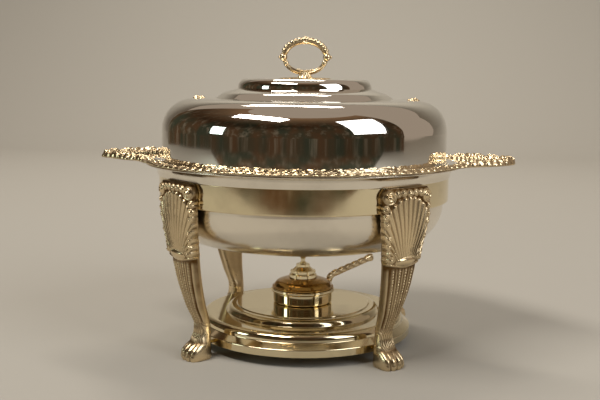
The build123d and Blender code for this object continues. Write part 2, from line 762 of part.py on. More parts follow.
write("water_bowl", water_bowl())
write("water_bowl_collar", water_bowl_collar())
write("food_pan", food_pan())
write("rim_border", rim_border())
write("handle_right", tab_handle())
write("handle_left", around(180, tab_handle()))
write("lid_dome", lid_dome())
write("lid_crown", lid_crown())
write("lid_locating_lip", locating_lip())
write("finial_rosette", finial_rosette())
write("finial_ring", finial_ring())
write("finial_stud", finial_stud())
write("finial_washer", finial_washer())
write("finial_nut", finial_nut())
write("shoulder_scroll_right", shoulder_scroll())
write("shoulder_scroll_left", around(180, shoulder_scroll()))
write("stand_ring", stand_ring())
write("burner_tray", burner_tray())
plain_leg = leg() - leg_screw_holes() - tray_screw_hole()
for name, angle in LEG_ANGLES.items():
    write(name, around(angle, plain_leg))
write("leg_screws", *[around(angle, screw) for angle in LEG_ANGLES.values() for screw in leg_screws()])
write("tray_screws", *[around(angle, tray_screw()) for angle in LEG_ANGLES.values()])
write("burner_cup", burner_cup())
write("burner_handle", around(GRIP_TURN, burner_handle()))
write("handle_rivets", *[around(GRIP_TURN, rivet) for rivet in handle_rivets()])
write("fuel_wool", fuel_wool())
write("burner_cover", burner_cover())
write("neck_collar", neck_collar())
write("wick_tube", wick_tube())
write("wick", wick())
write("snuffer_cap", snuffer_cap())
write("snuffer_knob", snuffer_knob())
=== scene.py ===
import json
import math

import bmesh
import bpy
import numpy as np
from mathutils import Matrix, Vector


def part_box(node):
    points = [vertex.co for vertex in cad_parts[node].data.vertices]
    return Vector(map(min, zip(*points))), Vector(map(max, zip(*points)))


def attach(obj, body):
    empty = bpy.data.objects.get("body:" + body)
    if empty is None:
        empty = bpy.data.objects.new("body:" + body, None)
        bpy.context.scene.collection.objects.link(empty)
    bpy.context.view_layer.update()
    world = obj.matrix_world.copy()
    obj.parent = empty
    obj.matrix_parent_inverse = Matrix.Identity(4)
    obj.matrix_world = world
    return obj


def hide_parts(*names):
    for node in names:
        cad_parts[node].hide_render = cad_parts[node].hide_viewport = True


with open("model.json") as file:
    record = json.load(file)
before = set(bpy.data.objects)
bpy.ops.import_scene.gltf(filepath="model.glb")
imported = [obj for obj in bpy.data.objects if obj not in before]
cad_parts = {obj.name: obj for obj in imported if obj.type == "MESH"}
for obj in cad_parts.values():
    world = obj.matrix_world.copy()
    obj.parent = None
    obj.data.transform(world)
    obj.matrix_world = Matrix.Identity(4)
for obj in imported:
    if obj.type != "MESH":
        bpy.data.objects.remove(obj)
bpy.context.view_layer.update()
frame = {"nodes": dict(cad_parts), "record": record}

bl_info = {
    "name": "Chafing dish",
    "version": (1, 0, 0),
    "blender": (4, 5, 0),
    "location": "View3D > Sidebar > Dish",
    "description": "Round silver-plated chafing dish with cast legs, border and finial, on its solid frame",
    "category": "Add Mesh",
}

MM = 0.001
SMALL = 1e-6


# ---- places taken from the frame, in millimetres ----


def low(node):
    """Lowest corner of a node's box."""
    return np.array(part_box(node)[0]) / MM


def high(node):
    """Highest corner of a node's box."""
    return np.array(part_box(node)[1]) / MM


LID_RADIUS = high("lid_dome")[0]
LID_FOOT = low("lid_dome")[2]
LID_TOP = high("lid_crown")[2]
ROSETTE_BASE = low("finial_rosette")[2]
ROSETTE_TOP = high("finial_rosette")[2]
FINIAL_TOP = high("finial_ring")[2]
PAN_RADIUS = high("food_pan")[0]
PAN_BASE = low("food_pan")[2]
PAN_TOP = high("food_pan")[2]
BORDER_RADIUS = high("rim_border")[1]
BORDER_BASE = low("rim_border")[2]
HANDLE_TIP = high("handle_right")[0]
BOWL_RADIUS = high("water_bowl_collar")[0]
BOWL_BASE = low("water_bowl")[2]
BOWL_TOP = high("water_bowl_collar")[2]
RING_RADIUS = high("stand_ring")[0]
RING_BASE = low("stand_ring")[2]
RING_TOP = high("stand_ring")[2]
TRAY_RADIUS = high("burner_tray")[0]
TRAY_BASE = low("burner_tray")[2]
PLATFORM = high("burner_tray")[2]
CUP_BASE = low("burner_cup")[2]
CUP_TOP = high("burner_cup")[2]
COVER_TOP = high("burner_cover")[2]
NECK_TOP = high("neck_collar")[2]
SNUFFER_BASE = low("snuffer_cap")[2]
SNUFFER_TOP = high("snuffer_cap")[2]
KNOB_TOP = high("snuffer_knob")[2]
LEG_TOP = high("leg_front_right")[2]
# Each leg's turn about the dish's axis from +X, clockwise from above, in degrees.
LEG_TURNS = {"leg_front_right": -45, "leg_rear_right": 45, "leg_rear_left": 135, "leg_front_left": -135}


# ---- sizes and colours that a user would change ----


def length(name, description, default_mm):
    return bpy.props.FloatProperty(
        name=name, description=description, default=float(default_mm) * MM, min=0.0, unit="LENGTH"
    )


def linear(hex_colour):
    """sRGB hex, such as F2EEE6, to linear red, green, blue and alpha."""
    values = np.array([int(hex_colour[i : i + 2], 16) for i in (0, 2, 4)]) / 255
    values = np.where(values <= 0.04045, values / 12.92, ((values + 0.055) / 1.055) ** 2.4)
    return (*values.tolist(), 1.0)


def colour(name, description, hex_colour):
    return bpy.props.FloatVectorProperty(
        name=name,
        description=description,
        subtype="COLOR",
        size=4,
        min=0.0,
        max=1.0,
        default=linear(hex_colour),
    )


class DishSizes(bpy.types.PropertyGroup):
    """Sizes of the dish's ornament and curves; the rest follows the frame."""

    lid_shoulder: length("Lid shoulder", "Radius of the lid's large shoulder", 34.0)
    lid_shelf_width: length("Lid shelf", "Lid wall to the foot of its second step", 60.5)
    lid_step_width: length("Lid step", "Width of the lid's second step", 25.8)
    bowl_corner: length("Bowl corner", "Corner radius of the hot-water bowl", 45.5)
    sheet: length("Sheet", "Wall of the spun sheet", 1.2)
    lid_lift: length("Lid clearance", "Height of the lid's cut edge over its frame's foot", 1.1)
    leg_relief: length("Leg relief", "Height of the carving on the legs", 2.3)
    border_relief: length("Border relief", "Height of the carving on the border", 3.2)
    border_width: length("Border width", "Width of the cast border round the dish", 22.0)


class DishFinishes(bpy.types.PropertyGroup):
    """Colours of the finishes and of the backdrop."""

    bright: colour("Bright silver", "Clean polished plate of the lid", "F4F1EA")
    dull: colour("Dull silver", "Rubbed plate of the bowl and its collar", "F4ECDD")
    aged: colour("Aged silver", "Polished plate with a yellow tarnish", "F2E3BE")
    cast: colour("Cast silver", "Plated casting on its high spots", "EED8B0")
    hollow: colour("Hollows", "Dark tarnish in the castings' hollows", "6A4E2C")
    amber: colour("Amber tarnish", "Plate over the flame, tarnished amber by heat", "A9854A")
    brass: colour("Brass", "Turned brass fixings", "C9A659")
    backdrop: colour("Backdrop", "Paper floor and backdrop", "AFACA4")


# ---- meshes ----


def smoothstep(start, end, value):
    """Rises from 0 at start to 1 at end, level at both."""
    share = np.clip((value - start) / (end - start), 0, 1)
    return share * share * (3 - 2 * share)


def cubic(value, stations, results):
    """Cubic curve through (station, result) pairs; its slope at a station is the mean of its two sides."""
    stations, results = np.asarray(stations, float), np.asarray(results, float)
    slopes = np.gradient(results, stations)
    index = np.clip(np.searchsorted(stations, value) - 1, 0, len(stations) - 2)
    span = stations[index + 1] - stations[index]
    t = np.clip((value - stations[index]) / span, 0, 1)
    rise = results[index + 1] - results[index]
    start = slopes[index] * span
    end = slopes[index + 1] * span
    return results[index] + start * t + (3 * rise - 2 * start - end) * t**2 + (start + end - 2 * rise) * t**3


def finish_piece(name, grids, body, look, nodes):
    """Makes one closed, outward-facing, smooth mesh from grids in millimetres and hangs it on a body."""
    points, quads, relief = joined(*grids)
    make_material, slot = LOOKS[look]
    mesh = bpy.data.meshes.new(name)
    mesh.from_pydata((points * MM).tolist(), [], quads.tolist())
    if look == "cast":
        layer = mesh.attributes.new("relief", "FLOAT", "POINT")
        layer.data.foreach_set("value", np.ascontiguousarray(relief, dtype=np.float32))
    work = bmesh.new()
    work.from_mesh(mesh)
    bmesh.ops.remove_doubles(work, verts=work.verts, dist=SMALL)
    bmesh.ops.dissolve_degenerate(work, edges=work.edges, dist=SMALL / 10)
    bmesh.ops.recalc_face_normals(work, faces=work.faces)
    work.to_mesh(mesh)
    work.free()
    mesh.shade_smooth()
    mesh.materials.append(make_material())
    piece = bpy.data.objects.new(name, mesh)
    bpy.context.scene.collection.objects.link(piece)
    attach(piece, body)
    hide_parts(*nodes)


def grid_quads(rows, columns, close_rows=False, close_columns=True):
    """Quads between neighbouring points of a grid stored row by row."""
    row = np.arange(rows if close_rows else rows - 1)[:, None]
    column = np.arange(columns if close_columns else columns - 1)[None, :]
    below, beside = (row + 1) % rows, (column + 1) % columns
    corners = [
        row * columns + column,
        row * columns + beside,
        below * columns + beside,
        below * columns + column,
    ]
    return np.stack([corner.ravel() for corner in corners], axis=1)


def pad(top, relief, sole):
    """Closes a round grid, a row for each ring, with a flat sole at a height."""
    under = top[::-1].copy()
    under[..., 2] = sole
    points = np.concatenate([top, under])
    return points, grid_quads(*points.shape[:2]), np.concatenate([relief, relief[::-1]])


def capped(points, relief):
    """Closes both ends of a tube's grid with a row drawn in to the middle of its end row."""
    relief = np.broadcast_to(relief, points.shape[:-1])
    ends = [np.broadcast_to(points[end].mean(axis=0), points[:1].shape) for end in (0, -1)]
    points = np.concatenate([ends[0], points, ends[1]])
    return points, grid_quads(*points.shape[:2]), np.concatenate([relief[:1], relief, relief[-1:]])


def joined(*grids):
    """Puts several (points, quads, relief) grids into one."""
    points, quads, reliefs, start = [], [], [], 0
    for grid_points, grid_faces, relief in grids:
        points.append(grid_points.reshape(-1, 3))
        quads.append(grid_faces + start)
        reliefs.append(np.broadcast_to(relief, grid_points.shape[:-1]).ravel())
        start += len(points[-1])
    return np.concatenate(points), np.concatenate(quads), np.concatenate(reliefs)


def rounded(corners, steps=9):
    """Outline through (radius, height, rounding) corners.

    Each corner but the first and the last becomes an arc, with a point beside each of the arc's ends, so that
    the smooth shading of a flat face stays flat.
    """
    sharpest, beside_arc = 0.25, 0.2
    points = [corners[0][:2]]
    for before, here, after in zip(corners, corners[1:], corners[2:]):
        place = np.array(here[:2])
        back, ahead = np.array(before[:2]) - place, np.array(after[:2]) - place
        back, ahead = back / np.linalg.norm(back), ahead / np.linalg.norm(ahead)
        half = math.acos(float(np.clip(back @ ahead, -1, 1))) / 2
        rounding = max(here[2], sharpest)
        middle = place + (back + ahead) / np.linalg.norm(back + ahead) * rounding / math.sin(half)
        start = place + back * rounding / math.tan(half)
        end = place + ahead * rounding / math.tan(half)
        first, last = np.arctan2(*(start - middle)[::-1]), np.arctan2(*(end - middle)[::-1])
        turn = (last - first + math.pi) % (2 * math.pi) - math.pi
        angles = first + turn * np.linspace(0, 1, steps)
        arc = middle + rounding * np.stack([np.cos(angles), np.sin(angles)], axis=1)
        points += [start + back * beside_arc, *arc, end + ahead * beside_arc]
    return np.array([*points, corners[-1][:2]])


def lathe(outline, segments=256):
    """Turns an outline of (radius, height) points about Z."""
    angles = np.linspace(0, 2 * math.pi, segments, endpoint=False)
    radius = outline[:, :1]
    height = np.broadcast_to(outline[:, 1:], (len(outline), segments))
    points = np.stack([radius * np.cos(angles), radius * np.sin(angles), height], axis=-1)
    return points, grid_quads(len(outline), segments), 1.0


def sheet_outline(corners, wall):
    """Closed outline of a spun sheet: its shown face, its edge, then its hidden face, a wall to the right.

    With a negative wall the hidden face lies on the left, and the edge is cut flat instead of round.
    """
    support = 0.3
    shown = rounded(corners)
    last = shown[-1] - shown[-2]
    shown = np.insert(shown, -1, shown[-1] - last / np.linalg.norm(last) * support, axis=0)
    ways = np.gradient(shown, axis=0)
    ways /= np.linalg.norm(ways, axis=1)[:, None]
    hidden = shown + np.stack([ways[:, 1], -ways[:, 0]], axis=1) * wall
    hidden[0, 0] = shown[0, 0]
    edge = (shown[-1] + hidden[-1]) / 2
    start = np.arctan2(*(shown[-1] - edge)[::-1])
    angles = start - np.linspace(0.15, 0.85, 9) * math.pi
    rim = edge + max(wall / 2, 0.0) * np.stack([np.cos(angles), np.sin(angles)], axis=1)
    return np.concatenate([shown, rim, hidden[::-1]])


def ball(centre, radius, stretch=(1, 1, 1), around=20, up=12):
    """Ball from two angles: longitude round it and latitude from pole to pole."""
    latitude = np.linspace(-math.pi / 2, math.pi / 2, up)[:, None]
    longitude = np.linspace(0, 2 * math.pi, around, endpoint=False)[None, :]
    points = np.stack(
        [
            np.cos(latitude) * np.cos(longitude),
            np.cos(latitude) * np.sin(longitude),
            np.sin(latitude) + 0 * longitude,
        ],
        axis=-1,
    )
    return np.array(centre) + points * radius * np.array(stretch), grid_quads(up, around), 1.0


def turned_about_z(points, degrees):
    """Points turned clockwise from above about the dish's axis."""
    cosine, sine = math.cos(math.radians(degrees)), math.sin(math.radians(degrees))
    return points @ np.array([[cosine, sine, 0], [-sine, cosine, 0], [0, 0, 1]])


def spun_piece(name, outline, segments, body, look, nodes):
    """A piece turned about the dish's axis."""
    finish_piece(name, [lathe(outline, segments)], body, look, nodes)


# ---- carved patterns: each gives heights from 0 to about 1 ----


def dome(distance, radius):
    """Round-topped bump: the square root of one less the squared distance."""
    return np.sqrt(np.clip(1 - (distance / radius) ** 2, 0, 1))


def volute(across, up, radius, hand=1):
    """Scroll end: a ridge that winds in to a small ball, on a low round bump."""
    distance = np.hypot(across, up)
    angle = np.arctan2(up, across * hand) / (2 * math.pi)
    winding = 0.5 + 0.5 * np.cos(2 * math.pi * (distance / (radius * 0.55) - angle))
    bump = dome(distance, radius)
    return np.maximum(bump * (0.45 + 0.55 * winding), dome(distance, radius * 0.3) * 1.1)


def flutes(phase):
    """Rounded ribs with narrow grooves, one to each half turn of phase."""
    return np.abs(np.cos(phase)) ** 0.55


def ridge(distance, width):
    """Smooth ridge along the line where distance is nought."""
    return np.exp(-((distance / width) ** 2))


# ---- materials ----


def add_node(tree, kind, inputs=None, **settings):
    """Adds a node, sets its settings, and fills its inputs with values or with links from sockets."""
    made = tree.nodes.new(kind)
    for key, value in settings.items():
        setattr(made, key, value)
    for key, value in (inputs or {}).items():
        if isinstance(value, bpy.types.NodeSocket):
            tree.links.new(value, made.inputs[key])
        else:
            made.inputs[key].default_value = value
    return made


def metal(name):
    """A new material with a metallic shader, its output linked; returns the material, tree and shader."""
    made = bpy.data.materials.new(name)
    made.use_nodes = True
    tree = made.node_tree
    tree.nodes.clear()
    shader = add_node(tree, "ShaderNodeBsdfPrincipled", {"Metallic": 1.0})
    add_node(tree, "ShaderNodeOutputMaterial", {"Surface": shader.outputs["BSDF"]})
    return made, tree, shader


def blend(tree, factor, first, second):
    """Mixes two colours by a factor."""
    made = add_node(tree, "ShaderNodeMix", data_type="RGBA")
    for key, value in ((0, factor), (6, first), (7, second)):
        if isinstance(value, bpy.types.NodeSocket):
            tree.links.new(value, made.inputs[key])
        else:
            made.inputs[key].default_value = value
    return made.outputs[2]


def spread(tree, value, low_in, high_in, low_out=0.0, high_out=1.0):
    """Maps a value from one range to another, held at the ends."""
    inputs = {"Value": value, "From Min": low_in, "From Max": high_in, "To Min": low_out, "To Max": high_out}
    return add_node(tree, "ShaderNodeMapRange", inputs).outputs["Result"]


def bump(tree, height, distance, strength, under=None):
    """Bump node's normal, on top of another's if there is one."""
    inputs = {"Height": height, "Distance": distance, "Strength": strength}
    if under:
        inputs["Normal"] = under
    return add_node(tree, "ShaderNodeBump", inputs).outputs[0]


def noise(tree, place, scale, detail=3.0, roughness=0.5):
    """Cloudy pattern whose clouds are about one part in scale of a metre across."""
    inputs = {"Vector": place, "Scale": scale, "Detail": detail, "Roughness": roughness}
    return add_node(tree, "ShaderNodeTexNoise", inputs).outputs["Fac"]


def shade(colour_value, factor):
    """The same colour, lighter or darker by a factor, with its alpha kept."""
    return (*[min(channel * factor, 1.0) for channel in colour_value[:3]], 1.0)


def plated_sheet(name, clean, stained, roughness, stain_start, wave=0.00035, rub=0.0):
    """Silver plate on spun sheet, polished on a wheel.

    Silver is the whitest metal, so the sheet shows the room sharply. Spinning leaves slow waves some 60 mm
    long, the wheel leaves faint hazy swirls, and tarnish lies in soft yellow patches.
    """
    made, tree, shader = metal(name)
    place = add_node(tree, "ShaderNodeTexCoord").outputs["Object"]
    patches = noise(tree, place, 9.0, 5.0, 0.6)
    haze = noise(tree, place, 24.0, 4.0, 0.6)
    stain = spread(tree, patches, stain_start, stain_start + 0.22)
    tree.links.new(blend(tree, stain, clean, stained), shader.inputs["Base Color"])
    gloss = spread(tree, haze, 0.35, 0.75, roughness, roughness * 1.7 + rub)
    tree.links.new(gloss, shader.inputs["Roughness"])
    waves = bump(tree, noise(tree, place, 14.0, 1.0), wave, 0.5)
    swirls = bump(tree, noise(tree, place, 900.0, 2.0), 0.0000015, 0.2, waves)
    tree.links.new(swirls, shader.inputs["Normal"])
    return made


def cast_plate(name, high_colour, hollow_colour):
    """Silver plate on a sand casting, carved, polished on its high spots.

    The wheel reaches only the high spots, so they are bright, and the hollows keep a brown-black tarnish and
    the casting's grain, about half a millimetre across.
    """
    made, tree, shader = metal(name)
    place = add_node(tree, "ShaderNodeTexCoord").outputs["Object"]
    height = add_node(tree, "ShaderNodeAttribute", attribute_name="relief").outputs["Fac"]
    patches = noise(tree, place, 60.0, 4.0, 0.6)
    uneven = add_node(tree, "ShaderNodeMath", {0: patches, 1: 0.35}, operation="MULTIPLY").outputs[0]
    worn = add_node(tree, "ShaderNodeMath", {0: height, 1: uneven}, operation="ADD").outputs[0]
    clean = spread(tree, worn, 0.28, 0.85)
    tarnish = spread(tree, noise(tree, place, 22.0), 0.4, 0.65)
    warm = blend(tree, tarnish, high_colour, shade(high_colour, 0.8))
    tree.links.new(blend(tree, clean, hollow_colour, warm), shader.inputs["Base Color"])
    tree.links.new(spread(tree, clean, 0.0, 1.0, 0.5, 0.24), shader.inputs["Roughness"])
    grain = noise(tree, place, 1800.0)
    tree.links.new(bump(tree, grain, 0.00006, 0.4), shader.inputs["Normal"])
    return made


def turned_brass(name, brass_colour):
    """Turned brass: yellow, satin, with fine tool rings about a third of a millimetre apart."""
    made, tree, shader = metal(name)
    place = add_node(tree, "ShaderNodeTexCoord").outputs["Object"]
    dull = spread(tree, noise(tree, place, 120.0, 4.0), 0.4, 0.7)
    tree.links.new(blend(tree, dull, brass_colour, shade(brass_colour, 0.6)), shader.inputs["Base Color"])
    tree.links.new(spread(tree, dull, 0.0, 1.0, 0.22, 0.42), shader.inputs["Roughness"])
    rings = add_node(tree, "ShaderNodeTexWave", {"Vector": place, "Scale": 900.0}, bands_direction="Z")
    tree.links.new(bump(tree, rings.outputs["Fac"], 0.00002, 0.3), shader.inputs["Normal"])
    return made


def fibre(name, pale, dark, scale):
    """Cotton or mineral fibre: matt, with strands about a millimetre across and shaded between them."""
    made, tree, shader = metal(name)
    shader.inputs["Metallic"].default_value = 0.0
    shader.inputs["Roughness"].default_value = 0.95
    place = add_node(tree, "ShaderNodeTexCoord").outputs["Object"]
    inputs = {"Vector": place, "Scale": scale, "Distortion": 6.0, "Detail": 3.0}
    strands = add_node(tree, "ShaderNodeTexWave", inputs).outputs["Fac"]
    tree.links.new(blend(tree, strands, linear(dark), linear(pale)), shader.inputs["Base Color"])
    tree.links.new(bump(tree, strands, 0.0004, 0.8), shader.inputs["Normal"])
    return made


def finishes():
    """The colours that the user has set."""
    return bpy.context.scene.dish_finishes


def once(name, make, *values, **settings):
    """The material of this name, made when it is first asked for."""
    return bpy.data.materials.get(name) or make(name, *values, **settings)


def bright_silver():
    """The lid's and the pan's plate: nearly a mirror."""
    clean = finishes().bright
    return once("Polished silver plate", plated_sheet, clean, shade(clean, 0.9), 0.035, 0.55)


def dull_silver():
    """The bowl's plate, rubbed by years of cleaning: it shows the room blurred."""
    clean = finishes().dull
    worn = shade(clean, 0.8)
    return once("Rubbed silver plate", plated_sheet, clean, worn, 0.14, 0.5, wave=0.0002, rub=0.05)


def aged_silver():
    """The stand's and the burner's plate, polished, with a yellow tarnish."""
    clean = finishes().aged
    return once("Tarnished silver plate", plated_sheet, clean, shade(clean, 0.62), 0.06, 0.48, rub=0.04)


def amber_silver():
    """Plate round the flame, which heat has turned amber."""
    clean = finishes().amber
    return once("Heat-tarnished silver plate", plated_sheet, clean, shade(clean, 0.6), 0.1, 0.5, rub=0.05)


def cast_silver():
    """The castings' plate: bright high spots over brown hollows."""
    return once("Cast silver plate", cast_plate, finishes().cast, finishes().hollow)


def brass():
    """The fixings' brass."""
    return once("Turned brass", turned_brass, finishes().brass)


# Each look: what makes its material, and the record's slot that it belongs to.
LOOKS = {
    "bright": (bright_silver, "bright_silver_sheet"),
    "dull": (dull_silver, "dull_silver_sheet"),
    "aged": (aged_silver, "aged_silver_sheet"),
    "amber": (amber_silver, "aged_silver_sheet"),
    "cast": (cast_silver, "silver_casting"),
}


# ---- lid ----


def lid_piece(sizes):
    """Lid in sheet: a straight wall, a large shoulder, a shelf, a rounded step and a rolled top step."""
    shelf = LID_FOOT + 68.9
    step = LID_TOP - 11.0
    shelf_in = LID_RADIUS - sizes.lid_shelf_width / MM
    step_in = shelf_in - sizes.lid_step_width / MM
    corners = [
        (0, LID_TOP),
        (step_in - 1.5, LID_TOP - 0.2, 8.5),
        (step_in - 0.2, step + 0.2, 1.0),
        (shelf_in - 8.5, step - 5.4, 15.0),
        (shelf_in, shelf + 1.3, 1.2),
        (LID_RADIUS, shelf, sizes.lid_shoulder / MM),
        (LID_RADIUS, LID_FOOT + sizes.lid_lift / MM),
    ]
    outline = sheet_outline(corners, -sizes.sheet / MM)
    spun_piece("lid_shell", outline, 320, "lid", "bright", ["lid_dome", "lid_crown"])


def rosette_piece():
    """Leaf rosette: rays of lobed leaves, each with a mid rib, from a raised middle to a scalloped edge."""
    rings, rays = 30, 288
    reach, crown, plate = 31.0, 1.6, 0.7
    share = np.linspace(0, 1, rings)[:, None]
    angle = np.linspace(0, 2 * math.pi, rays, endpoint=False)[None, :]
    leaf = np.abs(np.cos(angle * 6)) ** 0.7
    small = np.abs(np.sin(angle * 6)) ** 3
    radius = share * reach * (0.84 + 0.16 * np.maximum(leaf, 0.75 * small))
    rib = ridge(np.sin(angle * 6) * radius, 0.9) + 0.6 * ridge(np.cos(angle * 6) * radius, 0.8)
    veins = flutes(angle * 36 + share * 2)
    height = (1 - share**2.2) * crown + share * (0.9 * leaf + 0.5 * rib + 0.35 * veins)
    height *= 1 - smoothstep(0.9, 1.0, share)
    relief = np.clip(0.25 + 0.5 * leaf * share + 0.4 * rib * share + 0.2 * veins, 0, 1)
    top = np.stack([radius * np.cos(angle), radius * np.sin(angle), ROSETTE_BASE + plate + height], axis=-1)
    grid = pad(top, relief, ROSETTE_BASE)
    finish_piece("finial_leaf_rosette", [grid], "lid", "cast", ["finial_rosette"])


def finial_ring_grid(centre, half_width, half_height):
    """Oval ring: an ellipse whose round bar is leafy on its upper arc and grooved on its lower ones."""
    rows, columns = 480, 40
    along = np.linspace(0, 2 * math.pi, rows, endpoint=False)[:, None]
    around = np.linspace(0, 2 * math.pi, columns, endpoint=False)[None, :]
    upper = smoothstep(0.1, 0.35, np.sin(along))
    lobes = flutes(along * 17 + 0.35 * np.cos(around))
    outward = smoothstep(-0.2, 0.8, np.cos(around))
    groove = (1 - upper) * 0.9 * ridge(np.sin(around) - np.sign(np.sin(around)) * 0.85, 0.25)
    reach = 2.5 + upper * (0.8 + 1.5 * lobes * outward) - groove
    normal_x, normal_z = np.cos(along) * half_height, np.sin(along) * half_width
    size = np.hypot(normal_x, normal_z)
    points = np.stack(
        [
            half_width * np.cos(along) + normal_x / size * np.cos(around) * reach,
            np.sin(around) * reach * (1 - 0.12 * upper),
            centre + half_height * np.sin(along) + normal_z / size * np.cos(around) * reach,
        ],
        axis=-1,
    )
    relief = 0.45 + 0.55 * np.where(upper > 0.5, lobes * outward + 0.3 * (1 - outward), 1 - groove)
    return points, grid_quads(rows, columns, close_rows=True), relief


def finial_foot_grid(low_end, high_end):
    """Foot: an oval stem of ten leaves that narrows upwards."""
    angle = np.linspace(0, 2 * math.pi, 120, endpoint=False)[None, :]
    share = np.linspace(0, 1, 24)[:, None]
    leaves = flutes(angle * 5)
    radius = (10.0 - 4.6 * share**0.7) * (0.86 + 0.14 * leaves)
    height = low_end + share * (high_end - low_end) + 0 * radius
    points = np.stack([radius * np.cos(angle), radius * np.sin(angle) * 0.8, height], -1)
    return capped(points, leaves * 0.8 + 0.1)


def finial_piece():
    """Finial: an oval ring with balls at its sides and top and beads in its lower arc, on a leafy foot."""
    half_width, half_height = 24.2, 18.2
    centre = (FINIAL_TOP + ROSETTE_TOP) / 2 - 0.6
    grids = [finial_ring_grid(centre, half_width, half_height)]
    for side in (-1, 1):
        grids.append(ball((side * 25.2, 0, centre), 4.6, around=28, up=18))
        grids.append(ball((side * 29.4, 0, centre), 1.7))
        grids.append(ball((side * 22.0, 0, centre - 7.0), 2.9, (1, 1, 1.2)))
    grids.append(ball((0, 0, FINIAL_TOP - 4.0), 4.0, around=28, up=18))
    for across in np.linspace(-9, 9, 9):
        sag = half_height * math.sqrt(1 - (across / half_width) ** 2)
        grids.append(ball((across, 0, centre - sag + 2.5), 1.35, (1, 1.4, 1)))
    grids.append(finial_foot_grid(ROSETTE_TOP - 1.6, centre - half_height + 1.0))
    finish_piece("finial_oval_ring", grids, "lid", "cast", ["finial_ring"])


def lid_scroll_pieces():
    """Small leaf castings on the lid's shelf: an oval pad of rays with a pair of volutes."""
    half_length, half_width, sunk = 9.0, 7.6, 1.6
    share = np.linspace(0, 1, 26)[:, None]
    angle = np.linspace(0, 2 * math.pi, 120, endpoint=False)[None, :]
    edge = 0.86 + 0.14 * flutes(angle * 4.5)
    across = share * edge * np.cos(angle) * half_length
    deep = share * edge * np.sin(angle) * half_width
    rays = flutes(np.arctan2(deep, across + 11) * 14)
    curls = volute(across - 3, np.abs(deep) - 3.2, 3.4)
    height = (1 - share**2.5) * 2.2 + rays * 0.9 * (1 - share**6) + 1.1 * curls
    height *= 1 - smoothstep(0.88, 1.0, share)
    relief = np.clip(0.2 + 0.5 * rays + 0.2 * (1 - share), 0, 1)
    fall = 0.012 * np.clip(across, 0, None) ** 2
    for side, name in ((1, "right"), (-1, "left")):
        node = "shoulder_scroll_" + name
        middle = (low(node) + high(node)) / 2
        foot = high(node)[2] - 4.6
        top = np.stack([middle[0] + side * across, middle[1] + deep, foot + height + 0.6 - fall], -1)
        finish_piece("lid_scroll_" + name, [pad(top, relief, foot - sunk)], "lid", "cast", [node])


# ---- food pan, border and handles ----


# Points along the border's plan line.
BORDER_SAMPLES = 1640


def border_path(sizes):
    """Closed plan line of the border's middle: two arcs of the dish's circle, joined by the tabs' outlines.

    A cubic through listed corners of one tab, mirrored, and points of the circle, spaced evenly by length.
    Gives the points, the outward unit normals, and how far round the tab each point is, from 0 to 1.
    """
    middle = BORDER_RADIUS - sizes.border_width / MM / 2
    tip = HANDLE_TIP - 8.5
    tab = [(170, 60), (179, 52), (193, 43.5), (207, 34.5), (219, 24.5), (tip - 6, 14.5), (tip, 0)]
    tab = np.array(tab, float)
    side = np.concatenate([tab, (tab[:-1] * (1, -1))[::-1]])
    arc = np.radians(np.linspace(-156, -24, 13))
    front = middle * np.stack([np.cos(arc), np.sin(arc)], 1)
    corners = np.concatenate([front, side[::-1], -front, -side[::-1]])
    ring = np.concatenate([corners[-3:], corners, corners[:3]])
    chord = np.concatenate([[0], np.cumsum(np.linalg.norm(np.diff(ring, axis=0), axis=1))])
    fine = np.linspace(chord[3], chord[3 + len(corners)], BORDER_SAMPLES * 4 + 1)
    line = np.stack([cubic(fine, chord, ring[:, 0]), cubic(fine, chord, ring[:, 1])], 1)
    travel = np.concatenate([[0], np.cumsum(np.linalg.norm(np.diff(line, axis=0), axis=1))])
    even = np.linspace(0, travel[-1], BORDER_SAMPLES, endpoint=False)
    line = np.stack([np.interp(even, travel, line[:, 0]), np.interp(even, travel, line[:, 1])], 1)
    ways = np.roll(line, -2, 0) - np.roll(line, 2, 0)
    ways /= np.linalg.norm(ways, axis=1)[:, None]
    normals = np.stack([ways[:, 1], -ways[:, 0]], 1)
    on_tab = smoothstep(middle + 2, middle + 14, np.hypot(*line.T))
    return line, normals, on_tab, travel[-1]


def scrollwork(along, across, pitch):
    """Repeating rococo band: a shell, a pair of volutes, C-scrolls that join them, and leaf strokes between.

    along is the length within one repeat, from -pitch/2 to pitch/2, and across the width from the middle, in
    mm.
    """
    shell_angle = np.arctan2(along, across + 8)
    shell_reach = np.hypot(along, across + 8)
    shell = flutes(shell_angle * 5) * smoothstep(3, 7, shell_reach) * (1 - smoothstep(14, 16.5, shell_reach))
    shell *= 1 - smoothstep(0.75, 1.0, np.abs(shell_angle))
    side = np.abs(along)
    curls = np.maximum(volute(side - 13.5, across + 4.5, 5.6), volute(side - 20.5, across - 4.5, 5.0, -1))
    swing = ridge(np.hypot(side - 15, across - 1) - 9.0, 1.1) * smoothstep(-2, 3, across)
    leaf = flutes((side * 0.8 + across) * math.pi / 5.6) * smoothstep(pitch * 0.36, pitch * 0.42, side) * 0.8
    inner = flutes(along * math.pi / 6.0) * ridge(across + 9.2, 1.5) * 0.8
    return np.maximum.reduce([shell, curls, swing * 0.85, leaf, inner])


